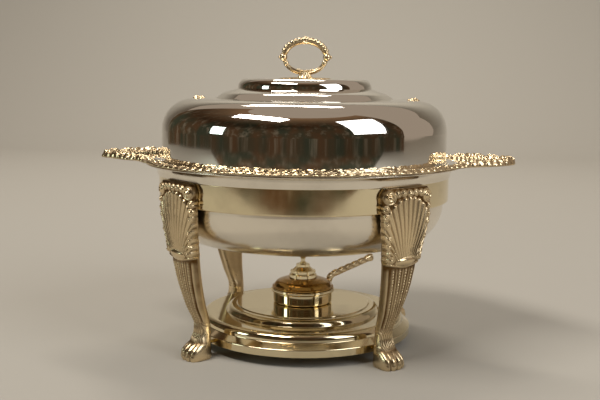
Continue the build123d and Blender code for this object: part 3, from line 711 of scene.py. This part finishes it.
def border_piece(sizes):
    """Cast border: a crowned strip round the plan line, carved with scrollwork, on a plain lower edge."""
    line, normals, on_tab, total = border_path(sizes)
    on_tab = on_tab[:, None]
    repeats = 26
    pitch = total / repeats
    travel = (np.arange(BORDER_SAMPLES) * total / BORDER_SAMPLES)[:, None]
    along = (travel + pitch * 0.5) % pitch - pitch / 2
    slow = 0.5 + 0.5 * np.sin(travel / total * 2 * math.pi * 7 + 1.3)
    plain_half = sizes.border_width / MM / 2
    half = plain_half * (1 - 0.3 * on_tab)
    across = np.concatenate([[-1.0, -1.0], np.linspace(-1, 1, 34), [1.0, 1.0]])[None, :]
    face = np.concatenate([[0, 1], np.ones(34), [1, 0]])[None, :]
    pattern = scrollwork(along, across * plain_half, pitch)
    edge = 1.7 * flutes(travel * math.pi / (pitch / 5)) + 1.6 * ridge(along, 8.0) - 3.3
    nicks = 0.9 * flutes(travel * math.pi / 5.3)
    outer = half + edge * smoothstep(-0.2, 0.9, across) - nicks * smoothstep(0.2, 0.9, -across)
    crown = np.clip(1 - np.abs(across) ** 3.2, 0, 1) ** 0.6
    base = BORDER_BASE + 0.1
    skirt = 1.3
    height = sizes.border_relief / MM * (0.45 + 0.2 * smoothstep(-0.9, 0.2, across) + 0.5 * on_tab)
    swell = 0.5 + 1.0 * smoothstep(-0.7, 0.6, across) + 2.6 * on_tab
    rise = (skirt + crown * (swell + height * pattern * (0.8 + 0.2 * slow))) * face
    offset = across * outer
    points = np.stack(
        [
            line[:, :1] + normals[:, :1] * offset,
            line[:, 1:] + normals[:, 1:] * offset,
            base + rise,
        ],
        axis=-1,
    )
    relief = np.clip(0.26 + pattern * 0.75 + 0.6 * (1 - crown) * face, 0, 1)
    relief = np.broadcast_to(relief, rise.shape)
    grids = [(points, grid_quads(BORDER_SAMPLES, across.size, close_rows=True), relief)]
    finish_piece("cast_border", grids, "food_pan", "cast", ["rim_border"])


def handle_panels(sizes):
    """Bright panel of each tab: a thin flat plate from the lid's wall to the middle line of the border."""
    line = border_path(sizes)[0]
    side_line = line[(line[:, 0] > 0) & (np.abs(line[:, 1]) < 59)]
    side_line = side_line[np.argsort(side_line[:, 1])]
    deep = np.linspace(-58, 58, 80)[:, None]
    share = np.linspace(0, 1, 20)[None, :]
    inner = np.sqrt((LID_RADIUS + 0.6) ** 2 - deep**2)
    outer = np.interp(deep[:, 0], side_line[:, 1], side_line[:, 0])[:, None]
    reach = inner + (outer - inner) * share
    for side, hand in ((1, "right"), (-1, "left")):
        top = np.stack([side * reach, side * (deep + 0 * share), BORDER_BASE + 1.5 + 0 * reach], -1)
        under = top[:, ::-1] - (0, 0, 1.0)
        loop = np.concatenate([top, under], axis=1)
        finish_piece("tab_panel_" + hand, [capped(loop, 1.0)], "food_pan", "bright", ["handle_" + hand])


def pan_piece(sizes):
    """Food pan: flat bottom, rounded corner, slightly drafted wall and a flat flange, in sheet."""
    sheet = sizes.sheet / MM
    wall = LID_RADIUS - 5.3
    seat = PAN_TOP - sheet
    corners = [(0, PAN_BASE), (wall - 1.7, PAN_BASE, 28.0), (wall, seat, 1.2), (PAN_RADIUS - 0.6, seat)]
    spun_piece("food_pan_shell", sheet_outline(corners, -sheet), 256, "food_pan", "bright", ["food_pan"])


# ---- water bowl, ring and tray ----


def bowl_piece(sizes):
    """Hot-water bowl: flat bottom, large corner, upright wall, and a cove collar that flares to its rim."""
    sheet = sizes.sheet / MM
    seat = RING_RADIUS + 1.4
    wall = RING_RADIUS - 5.8
    corners = [
        (0, BOWL_BASE),
        (wall, BOWL_BASE, sizes.bowl_corner / MM),
        (wall, RING_TOP, 1.2),
        (seat, RING_TOP, 0.8),
        (seat + 1.6, BOWL_TOP - sheet - 0.5, 8.0),
        (BOWL_RADIUS - 0.7, BOWL_TOP - sheet),
    ]
    nodes = ["water_bowl", "water_bowl_collar"]
    spun_piece("hot_water_bowl", sheet_outline(corners, -sheet), 320, "water_bowl", "dull", nodes)


def ring_piece():
    """Stand ring: a plain band with a rolled lower edge that steps in towards the bowl."""
    inner = RING_RADIUS - 1.6
    corners = [
        (inner, RING_TOP),
        (RING_RADIUS, RING_TOP, 0.4),
        (RING_RADIUS, RING_BASE + 1.2, 1.2),
        (RING_RADIUS - 2.6, RING_BASE, 0.8),
        (inner - 1.6, RING_BASE + 0.9, 0.5),
        (inner, RING_BASE + 2.6, 0.5),
        (inner, RING_TOP),
    ]
    spun_piece("ring_band", rounded(corners, 7), 320, "stand", "aged", ["stand_ring"])


def tray_piece():
    """Burner tray: platform, round moulding, flat, rolled moulding, sloping flange and skirt, in sheet."""
    skirt = TRAY_BASE + 8.2
    shelf = PLATFORM - 8.4
    corners = [
        (0, PLATFORM),
        (77.5, PLATFORM, 0.8),
        (78.3, PLATFORM - 1.1, 0.5),
        (86.6, PLATFORM - 1.3, 7.0),
        (90, shelf, 1.4),
        (TRAY_RADIUS - 9.3, shelf, 7.2),
        (TRAY_RADIUS - 8.1, skirt + 5.6, 1.2),
        (TRAY_RADIUS, skirt, 1.4),
        (TRAY_RADIUS, TRAY_BASE + 0.7),
    ]
    spun_piece("tray_shell", sheet_outline(corners, 1.4), 256, "stand", "aged", ["burner_tray"])


# ---- legs ----


LEG_STATIONS = np.array(
    [
        # height, radius of the middle, half thickness, half width, corner power
        (0, 146.8, 13.8, 13.6, 0.62),
        (4, 146.8, 14.4, 14.6, 0.66),
        (10, 146.0, 13.4, 14.4, 0.72),
        (16, 143.8, 11.2, 13.4, 0.78),
        (22, 141.6, 9.0, 11.8, 0.80),
        (29, 139.8, 7.6, 10.4, 0.78),
        (36, 139.6, 7.0, 10.0, 0.72),
        (60, 148.0, 7.2, 13.4, 0.55),
        (90, 156.5, 7.2, 18.4, 0.48),
        (112, 160.8, 7.2, 21.4, 0.45),
        (122, 163.6, 7.8, 23.6, 0.42),
        (133, 165.2, 7.2, 25.0, 0.40),
        (150, 168.6, 5.8, 29.6, 0.35),
        (164, 170.6, 4.6, 32.2, 0.30),
        (180, 171.2, 4.2, 33.0, 0.28),
        (190, 171.2, 4.2, 32.4, 0.28),
        (195.8, 171.0, 4.0, 29.5, 0.35),
    ]
)
# Scroll ends on one half of the leg: across, height, radius; each is mirrored.
LEG_SCROLLS = [
    (26.0, 187.0, 7.8),
    (30.0, 175.5, 4.4),
    (29.6, 167.0, 4.2),
    (28.2, 158.8, 4.0),
    (0.0, 190.5, 4.4),
    (8.4, 191.0, 4.0),
    (16.2, 190.4, 4.2),
    (24.6, 143.5, 3.9),
    (23.4, 136.4, 3.7),
    (22.6, 129.6, 3.6),
    (19.8, 121.2, 4.8),
]


def leg_carving(across, up, half_width):
    """Height of the leg's carving, from 0 to about 2, and how clean it is.

    A fan of flutes rises from the knee to a crest of scrolls, curls stack down both edges, an almond boss
    sits on the knee, beaded ribs run down the shin, and hair strands fall over the toes.
    """
    edge = across / half_width
    angle = np.arctan2(across, up - 101)
    rib_phase = angle * 12.5 * math.pi * (1 - 0.12 * np.abs(edge))
    ribs_of_fan = flutes(rib_phase)
    fan_tip = 185 - 24 * np.abs(edge) ** 2.4 + 3.4 * ribs_of_fan
    fan = (0.12 + 0.88 * ribs_of_fan**1.5) * smoothstep(114, 126, up)
    fan *= 1 - smoothstep(fan_tip - 3.0, fan_tip, up)
    veins = 0.3 * ridge(np.sin(rib_phase), 0.22) * smoothstep(146, 162, up) * (up < fan_tip - 4)
    fan -= veins
    inside = 1 - smoothstep(0.6, 0.72, np.abs(edge) - 0.42 * smoothstep(130, 166, up))
    fan *= inside
    feathers = flutes((up - 1.25 * np.abs(across)) * math.pi / 5.6 + 0.9) ** 1.4
    feathers *= (1 - inside) * smoothstep(116, 122, up) * (1 - smoothstep(160, 172, up))
    carved = np.maximum(fan, feathers)
    for place, height, radius in LEG_SCROLLS:
        curl = volute(np.abs(across) - place, up - height, radius)
        carved = np.maximum(carved, curl * (1.0 + 0.08 * radius))
    almond = np.clip(1 - (across / 13.0) ** 2 - ((up - 118.5) / 5.6) ** 2, 0, 1) ** 0.5
    collar = ridge(up - 113 - 4.2 * np.abs(edge) ** 1.5, 1.5)
    shin = smoothstep(34, 44, up) * (1 - smoothstep(107, 113, up))
    beads = 0.3 + 0.7 * flutes(up * math.pi / 3.0)
    ribs = sum(ridge(edge - place, 0.085) for place in (-0.62, -0.2, 0.2, 0.62)) * beads
    fillets = sum(ridge(edge - place, 0.05) for place in (-0.9, -0.41, 0.0, 0.41, 0.9)) * 0.75
    carved = np.maximum(carved, np.maximum(ribs, fillets) * shin * 0.8)
    strand_phase = (across + 1.1 * np.sin(up / 3.1) + 0.25 * (up - 30)) * math.pi / 2.3
    hair = flutes(strand_phase) * smoothstep(17, 24, up) * (1 - smoothstep(36, 46, up)) * 0.75
    carved = np.maximum(carved, hair)
    toes = flutes(edge * math.pi * 2 * 0.98 + math.pi / 2) * (1 - smoothstep(15, 20, up))
    knuckle = 0.7 + 0.5 * ridge(up - 11, 4.5) + 0.25 * ridge(up - 3.5, 2.2)
    carved = np.maximum(carved, toes * knuckle * 1.25)
    clean = np.clip(0.1 + 0.8 * carved, 0, 1)
    carved = np.maximum(carved, almond * 1.9)
    carved = np.maximum(carved, collar)
    clean = np.maximum(clean, np.maximum(almond > 0.1, collar * 0.8))
    return carved, clean


def leg_grid(relief_height):
    """Closed leg on +X: a section carried up the leg, wrapped round the dish's axis.

    Each section is a superellipse whose middle, half depth, half width and power are cubics of the height.
    Its front half stands out by the carving. The lowest and highest rows shrink to a point, which closes the
    ends.
    """
    front, back, rows = 112, 34, 372
    height = np.linspace(0, LEG_TOP, rows)[:, None]
    middle, deep, wide, power = (cubic(height, LEG_STATIONS[:, 0], LEG_STATIONS[:, k]) for k in (1, 2, 3, 4))
    swing = np.linspace(-1, 1, front) * math.pi / 2
    face = 0.55 * np.sin(swing) + 0.45 * swing / (math.pi / 2)
    rear_swing = np.linspace(1, -1, back + 2)[1:-1] * math.pi / 2
    share = np.concatenate([face, np.sin(rear_swing)])[None, :]
    sign = np.concatenate([np.ones(front), -np.ones(back)])[None, :]
    lobes = flutes((height - 1.5 * wide) * math.pi / 5.4 + 0.6)
    lobes *= smoothstep(114, 122, height) * (1 - smoothstep(178, 184, height))
    corner = 1.4 * ridge(height - 187, 6.0)
    across = share * (wide - 0.8 + lobes + corner)
    bulge = np.clip(1 - np.abs(share) ** (2 / power), 0, 1) ** (power / 2)
    carved, clean = leg_carving(across, height, wide)
    mask = np.clip(1 - np.abs(share) ** 14, 0, 1) ** 0.5 * (sign > 0)
    reach = middle + sign * deep * bulge + carved * mask * relief_height
    reach = np.maximum(reach, np.where(height > RING_BASE - 1, RING_RADIUS + 0.05, 0))
    reach = np.where(height < TRAY_BASE + 8.2, np.maximum(reach, TRAY_RADIUS + 0.1), reach)
    turn = across / middle
    points = np.stack([reach * np.cos(turn), reach * np.sin(turn), height + 0 * reach], -1)
    ends = [points[:1].copy(), points[-1:].copy()]
    for end in ends:
        end[..., 0] = end[..., 0].mean()
        end[..., 1] = 0.0
    points = np.concatenate([ends[0], points, ends[1]])
    clean = np.where(sign > 0, clean, 0.55)
    clean = np.concatenate([clean[:1], clean, clean[-1:]])
    return points, grid_quads(rows + 2, front + back), clean


def leg_pieces(sizes):
    """The four legs: one leg's grid, turned to each place."""
    points, quads, relief = leg_grid(sizes.leg_relief / MM)
    for node, turn in LEG_TURNS.items():
        grids = [(turned_about_z(points, turn), quads, relief)]
        finish_piece("cast_" + node, grids, "stand", "cast", [node])


# ---- burner ----


def cup_piece():
    """Burner cup: a straight wall with a rolled bead under its mouth, open at the top."""
    cup = rounded(
        [
            (0, CUP_BASE),
            (34.7, CUP_BASE, 3.0),
            (34.7, CUP_BASE + 13.4, 0.5),
            (35.6, CUP_BASE + 13.3, 0.3),
            (37.4, CUP_BASE + 13.6, 1.6),
            (37.4, CUP_BASE + 17.0, 1.6),
            (35.2, CUP_TOP - 0.1, 0.4),
            (33.5, CUP_TOP, 0.4),
            (33.5, CUP_BASE + 1.2, 2.0),
            (0, CUP_BASE + 1.2),
        ]
    )
    spun_piece("burner_cup_shell", cup, 160, "burner", "aged", ["burner_cup"])


def cover_piece():
    """Burner cover: a spigot in the cup's mouth, a lip over it, and a dome with a hole in its middle."""
    cover = rounded(
        [
            (32.0, CUP_TOP - 4.0),
            (33.2, CUP_TOP - 4.0, 0.2),
            (33.2, CUP_TOP, 0.2),
            (36.2, CUP_TOP, 0.4),
            (36.2, CUP_TOP + 1.6, 0.7),
            (34.2, CUP_TOP + 2.4, 0.6),
            (31.5, CUP_TOP + 7.4, 8.0),
            (22.0, COVER_TOP - 0.6, 10.0),
            (18.6, COVER_TOP, 1.0),
            (14.05, COVER_TOP, 0.2),
            (14.05, COVER_TOP - 1.2, 0.2),
            (22.0, COVER_TOP - 1.5, 8.0),
            (32.0, CUP_TOP + 1.6, 0.5),
            (32.0, CUP_TOP - 4.0),
        ]
    )
    spun_piece("burner_domed_cover", cover, 160, "burner_cover", "amber", ["burner_cover"])


def neck_piece():
    """Neck collar: a sleeve through the cover's hole, with a shoulder on the dome and a thin wall above."""
    neck = rounded(
        [
            (11.05, COVER_TOP - 6.0),
            (13.95, COVER_TOP - 6.0, 0.2),
            (13.95, COVER_TOP + 0.05, 0.2),
            (16.3, COVER_TOP + 0.05, 0.3),
            (16.3, COVER_TOP + 4.6, 1.0),
            (13.2, COVER_TOP + 4.7, 0.3),
            (13.2, NECK_TOP, 0.2),
            (11.05, NECK_TOP, 0.2),
            (11.05, COVER_TOP - 6.0),
        ]
    )
    spun_piece("neck_ring", neck, 128, "burner_cover", "aged", ["neck_collar"])


def snuffer_piece():
    """Snuffer cap: a stepped hollow cone with a hole for the knob's stem."""
    cap = rounded(
        [
            (12.4, SNUFFER_BASE + 0.05),
            (15.0, SNUFFER_BASE + 0.05, 0.4),
            (15.0, SNUFFER_BASE + 2.6, 0.5),
            (12.6, SNUFFER_BASE + 3.2, 0.6),
            (9.0, SNUFFER_TOP - 3.9, 1.2),
            (8.0, SNUFFER_TOP - 3.4, 0.4),
            (8.0, SNUFFER_TOP, 0.5),
            (2.0, SNUFFER_TOP, 0.1),
            (2.0, SNUFFER_TOP - 4.8, 0.1),
            (7.0, SNUFFER_TOP - 4.8, 0.4),
            (12.4, SNUFFER_BASE + 2.6, 0.4),
            (12.4, SNUFFER_BASE + 0.05),
        ]
    )
    spun_piece("snuffer_cone", cap, 128, "snuffer", "aged", ["snuffer_cap"])


def knob_piece():
    """Snuffer knob: a riveted foot, a waisted stem and a flattened ball."""
    knob = rounded(
        [
            (0, SNUFFER_TOP - 5.6),
            (3.0, SNUFFER_TOP - 5.6, 0.3),
            (3.0, SNUFFER_TOP - 4.8, 0.2),
            (1.95, SNUFFER_TOP - 4.8, 0.1),
            (1.95, SNUFFER_TOP + 0.05, 0.1),
            (4.2, SNUFFER_TOP + 0.05, 0.5),
            (4.2, SNUFFER_TOP + 1.3, 0.6),
            (2.5, SNUFFER_TOP + 2.4, 1.6),
            (2.9, SNUFFER_TOP + 7.0, 3.0),
            (7.8, KNOB_TOP - 5.6, 2.6),
            (7.6, KNOB_TOP - 1.6, 2.2),
            (3.0, KNOB_TOP - 0.2, 3.0),
            (0, KNOB_TOP - 0.1),
        ]
    )
    spun_piece("snuffer_turned_knob", knob, 96, "snuffer", "aged", ["snuffer_knob"])


def burner_handle_piece():
    """Burner handle: a carved bar that steps out past the bead and rises.

    The bar's middle line is a cubic of its reach. Its top edge swells with each scroll, and its lower one is
    beaded.
    """
    rows, columns = 260, 48
    reach = np.linspace(0, 1, rows)[:, None]
    out = cubic(reach, [0, 0.12, 0.24, 0.4, 0.7, 1.0], [36.4, 39.6, 43.8, 57.0, 84.0, 111.4])
    up = cubic(reach, [0, 0.12, 0.24, 0.4, 0.7, 1.0], [51.0, 60.0, 68.0, 71.8, 77.8, 84.0])
    slope_out, slope_up = np.gradient(out[:, 0])[:, None], np.gradient(up[:, 0])[:, None]
    size = np.hypot(slope_out, slope_up)
    side_out, side_up = -slope_up / size, slope_out / size
    around = np.linspace(0, 2 * math.pi, columns, endpoint=False)[None, :]
    travel = reach * 95.0
    scrolls = flutes(travel * math.pi / 11.0 + 0.4)
    beads = flutes(travel * math.pi / 2.6)
    end = smoothstep(0.0, 0.02, reach) * (1 - smoothstep(0.985, 1.0, reach))
    upper = 2.9 + 1.7 * scrolls + 1.3 * ridge(reach - 0.955, 0.035)
    lower = 2.9 + 0.6 * beads + 1.0 * ridge(reach - 0.955, 0.035)
    tall = np.where(np.sin(around) > 0, upper, lower) * np.maximum(end, 0.03)
    wide = (3.1 + 0.9 * ridge(reach - 0.955, 0.04) + 1.4 * ridge(reach, 0.07)) * np.maximum(end, 0.03)
    face = np.cos(around)
    carving = flutes(travel * math.pi / 11.0 + 0.4 + np.sin(around) * 0.9)
    wide = wide * (0.82 + 0.18 * carving)
    lift = np.sign(np.sin(around)) * np.abs(np.sin(around)) ** 0.8 * tall
    points = np.stack(
        [
            out + side_out * lift,
            np.sign(face) * np.abs(face) ** 0.7 * wide,
            up + side_up * lift,
        ],
        axis=-1,
    )
    relief = np.clip(0.25 + 0.4 * carving + 0.35 * beads * (np.sin(around) < -0.3), 0, 1)
    grids = [capped(turned_about_z(points, 45), relief)]
    finish_piece("burner_grip", grids, "burner", "cast", ["burner_handle"])


def fitting_finishes():
    """Finishes of the frame's own small pieces, which already have their true shape."""
    made = {
        "brass_fixings": brass(),
        "cotton_wick": fibre("Braided cotton", "DCD2BE", "8C7F69", 420.0),
        "mineral_wool": fibre("Mineral wool", "CFC8B8", "7E776A", 240.0),
        "bright_silver_sheet": bright_silver(),
        "dull_silver_sheet": dull_silver(),
        "aged_silver_sheet": aged_silver(),
        "silver_casting": cast_silver(),
    }
    slots = {row["node"]: row["material_slot"] for row in frame["record"]["subparts"]}
    for node, solid in frame["nodes"].items():
        for place in solid.material_slots:
            place.material = made[slots[node]]


# ---- stage ----


def matt(name, paint):
    """Plain matt material for the stage."""
    made = bpy.data.materials.new(name)
    made.use_nodes = True
    shader = made.node_tree.nodes["Principled BSDF"]
    shader.inputs["Base Color"].default_value = paint
    shader.inputs["Roughness"].default_value = 0.9
    shader.inputs["Specular IOR Level"].default_value = 0.1
    return made


def stage_mesh(name, points, quads, material):
    """Smooth mesh object in metres that belongs to the stage and not to the dish."""
    mesh = bpy.data.meshes.new(name)
    mesh.from_pydata(points.reshape(-1, 3).tolist(), [], quads.tolist())
    mesh.shade_smooth()
    mesh.materials.append(material)
    made = bpy.data.objects.new(name, mesh)
    bpy.context.scene.collection.objects.link(made)


def sweep_backdrop():
    """Paper floor that bends up behind the dish: a straight, a quarter turn and a straight."""
    bend, back, front, tall = 0.9, 2.6, -1.25, 3.4
    angle = np.linspace(-math.pi / 2, 0, 24)
    line = np.concatenate(
        [
            [[front, 0.0]],
            np.stack([back + bend * np.cos(angle), bend + bend * np.sin(angle)], 1),
            [[back + bend, tall]],
        ]
    )
    sides = np.linspace(-4.5, 4.5, 3)[None, :]
    points = np.stack([sides + 0 * line[:, :1], line[:, :1] + 0 * sides, line[:, 1:] + 0 * sides], -1)
    quads = grid_quads(len(line), 3, close_columns=False)
    stage_mesh("backdrop", points, quads, matt("Backdrop paper", finishes().backdrop))


def room_painted_shade_and_light():
    """Room colour: pale to the camera; to the metal, a dim brown and green room in painted shade, with paler
    upright patches and a paler top in painted light.
    """
    made = bpy.data.materials.new("Room painted shade and light")
    made.use_nodes = True
    tree = made.node_tree
    shader = tree.nodes["Principled BSDF"]
    shader.inputs["Roughness"].default_value = 1.0
    shader.inputs["Specular IOR Level"].default_value = 0.0
    place = add_node(tree, "ShaderNodeTexCoord").outputs["Object"]
    stretched = {"Vector": place, "Scale": (1.0, 1.0, 0.35)}
    upright = add_node(tree, "ShaderNodeMapping", stretched).outputs["Vector"]
    patches = noise(tree, upright, 3.2, 4.0, 0.7)
    tint = noise(tree, upright, 1.3, 2.0)
    # Painted shade: a dim brown and green base, so that the room shows dark in the metal.
    dark = blend(tree, spread(tree, tint, 0.4, 0.6), linear("5E4835"), linear("42463A"))
    # Painted light: paler upright patches on the dim base, like lit spots of a room.
    lit = blend(tree, spread(tree, patches, 0.52, 0.72), dark, linear("8A8172"))
    level = add_node(tree, "ShaderNodeSeparateXYZ", {"Vector": place}).outputs["Z"]
    # Painted light: the wall grows paler from 2.6 m to 6.5 m up, towards its top.
    lit = blend(tree, spread(tree, level, 2.6, 6.5), lit, linear("D0B498"))
    # The camera sees the backdrop's colour here; all other rays see the painted shade and light.
    eye = add_node(tree, "ShaderNodeLightPath").outputs["Is Camera Ray"]
    tree.links.new(blend(tree, eye, lit, finishes().backdrop), shader.inputs["Base Color"])
    return made


def room():
    """Room in front of the paper: a floor, and a wall bent round the dish from the left to the right."""
    paint = room_painted_shade_and_light()
    turn = np.radians(np.linspace(-128, 88, 60))[:, None]
    reach = np.array([[0.0, 3.4, 3.4]])
    rise = np.array([[-0.004, -0.004, 7.5]])
    points = np.stack([reach * np.sin(turn), -reach * np.cos(turn), rise + 0 * turn], -1)
    stage_mesh("room", points, grid_quads(60, 3, close_columns=False), paint)


def softbox(name, place, aim, width, height, watts, tint="FFFFFF"):
    """Rectangular area light that faces its aim."""
    data = bpy.data.lights.new(name, "AREA")
    data.shape, data.size, data.size_y, data.energy = "RECTANGLE", width, height, watts
    data.color = linear(tint)[:3]
    made = bpy.data.objects.new(name, data)
    bpy.context.scene.collection.objects.link(made)
    made.location = place
    made.rotation_euler = (Vector(aim) - Vector(place)).to_track_quat("-Z", "Y").to_euler()


def camera():
    """Camera a little to the right of the front and above, a short way off."""
    data = bpy.data.cameras.new("camera")
    data.sensor_width, data.lens = 36.0, 55.2
    data.shift_x = -5 / 600
    made = bpy.data.objects.new("camera", data)
    bpy.context.scene.collection.objects.link(made)
    turn, distance, level = math.radians(6.6), 1.07, 0.3065
    made.location = (distance * math.sin(turn), -distance * math.cos(turn), level)
    made.rotation_euler = (math.radians(90 - 7.58), math.radians(-0.6), turn)
    bpy.context.scene.camera = made


def stage_pieces():
    """Backdrop, room, lights and world."""
    scene = bpy.context.scene
    scene.view_settings.view_transform = "Standard"
    world = bpy.data.worlds.new("studio")
    scene.world = world
    world.use_nodes = True
    background = world.node_tree.nodes["Background"]
    background.inputs["Color"].default_value = linear("C2B09E")
    background.inputs["Strength"].default_value = 0.6
    sweep_backdrop()
    room()
    softbox("key_softbox", (-1.2, -1.2, 2.9), (0, 0, 0.2), 2.0, 0.6, 66.0, "FFF8F0")
    softbox("right_softbox", (1.9, -1.2, 1.6), (0, 0, 0.2), 1.3, 1.9, 28.0)
    softbox("left_window", (-2.6, -1.3, 0.9), (0, 0, 0.2), 0.6, 0.8, 8.0, "DCEEE8")
    softbox("top_softbox", (-0.35, 1.7, 2.9), (0, 2.6, 0.9), 1.5, 0.5, 56.0, "FFF8EE")


# ---- operators, panel and registration ----


def dish_sizes():
    """The sizes that the user has set."""
    return bpy.context.scene.dish_sizes


class DISH_OT_lid(bpy.types.Operator):
    """Make the lid's shell"""

    bl_idname = "dish.lid"
    bl_label = "Lid"

    def execute(self, context):
        lid_piece(dish_sizes())
        return {"FINISHED"}


class DISH_OT_finial(bpy.types.Operator):
    """Make the finial, its rosette and the lid's two scrolls"""

    bl_idname = "dish.finial"
    bl_label = "Finial and lid castings"

    def execute(self, context):
        rosette_piece()
        finial_piece()
        lid_scroll_pieces()
        return {"FINISHED"}


class DISH_OT_pan(bpy.types.Operator):
    """Make the food pan with its cast border and tab panels"""

    bl_idname = "dish.pan"
    bl_label = "Food pan"

    def execute(self, context):
        pan_piece(dish_sizes())
        border_piece(dish_sizes())
        handle_panels(dish_sizes())
        return {"FINISHED"}


class DISH_OT_bowl(bpy.types.Operator):
    """Make the hot-water bowl"""

    bl_idname = "dish.bowl"
    bl_label = "Hot-water bowl"

    def execute(self, context):
        bowl_piece(dish_sizes())
        return {"FINISHED"}


class DISH_OT_stand(bpy.types.Operator):
    """Make the ring and the tray of the stand"""

    bl_idname = "dish.stand"
    bl_label = "Ring and tray"

    def execute(self, context):
        ring_piece()
        tray_piece()
        return {"FINISHED"}


class DISH_OT_legs(bpy.types.Operator):
    """Make the four cast legs"""

    bl_idname = "dish.legs"
    bl_label = "Legs"

    def execute(self, context):
        leg_pieces(dish_sizes())
        return {"FINISHED"}


class DISH_OT_burner(bpy.types.Operator):
    """Make the spirit burner"""

    bl_idname = "dish.burner"
    bl_label = "Burner"

    def execute(self, context):
        cup_piece()
        cover_piece()
        neck_piece()
        snuffer_piece()
        knob_piece()
        burner_handle_piece()
        return {"FINISHED"}


class DISH_OT_fittings(bpy.types.Operator):
    """Give the frame's own small pieces their finishes"""

    bl_idname = "dish.fittings"
    bl_label = "Fittings"

    def execute(self, context):
        fitting_finishes()
        return {"FINISHED"}


class DISH_OT_stage(bpy.types.Operator):
    """Make the backdrop, the lights and the camera"""

    bl_idname = "dish.stage"
    bl_label = "Stage"

    def execute(self, context):
        stage_pieces()
        camera()
        return {"FINISHED"}


OPERATORS = [
    DISH_OT_fittings,
    DISH_OT_lid,
    DISH_OT_finial,
    DISH_OT_pan,
    DISH_OT_bowl,
    DISH_OT_stand,
    DISH_OT_legs,
    DISH_OT_burner,
    DISH_OT_stage,
]


class DISH_PT_panel(bpy.types.Panel):
    """Lists the dish's sizes, finishes and pieces"""

    bl_idname = "DISH_PT_panel"
    bl_label = "Chafing dish"
    bl_space_type = "VIEW_3D"
    bl_region_type = "UI"
    bl_category = "Dish"

    def draw(self, context):
        column = self.layout.column()
        for group in (context.scene.dish_sizes, context.scene.dish_finishes):
            for key in group.__annotations__:
                column.prop(group, key)
        for operator in OPERATORS:
            column.operator(operator.bl_idname)


CLASSES = [DishSizes, DishFinishes, *OPERATORS, DISH_PT_panel]


def register():
    for made in CLASSES:
        bpy.utils.register_class(made)
    bpy.types.Scene.dish_sizes = bpy.props.PointerProperty(type=DishSizes)
    bpy.types.Scene.dish_finishes = bpy.props.PointerProperty(type=DishFinishes)


def unregister():
    del bpy.types.Scene.dish_sizes
    del bpy.types.Scene.dish_finishes
    for made in reversed(CLASSES):
        bpy.utils.unregister_class(made)


def main():
    register()
    for operator in OPERATORS:
        group, name = operator.bl_idname.split(".")
        getattr(getattr(bpy.ops, group), name)()
    bpy.context.view_layer.update()


if __name__ == "__main__":
    main()
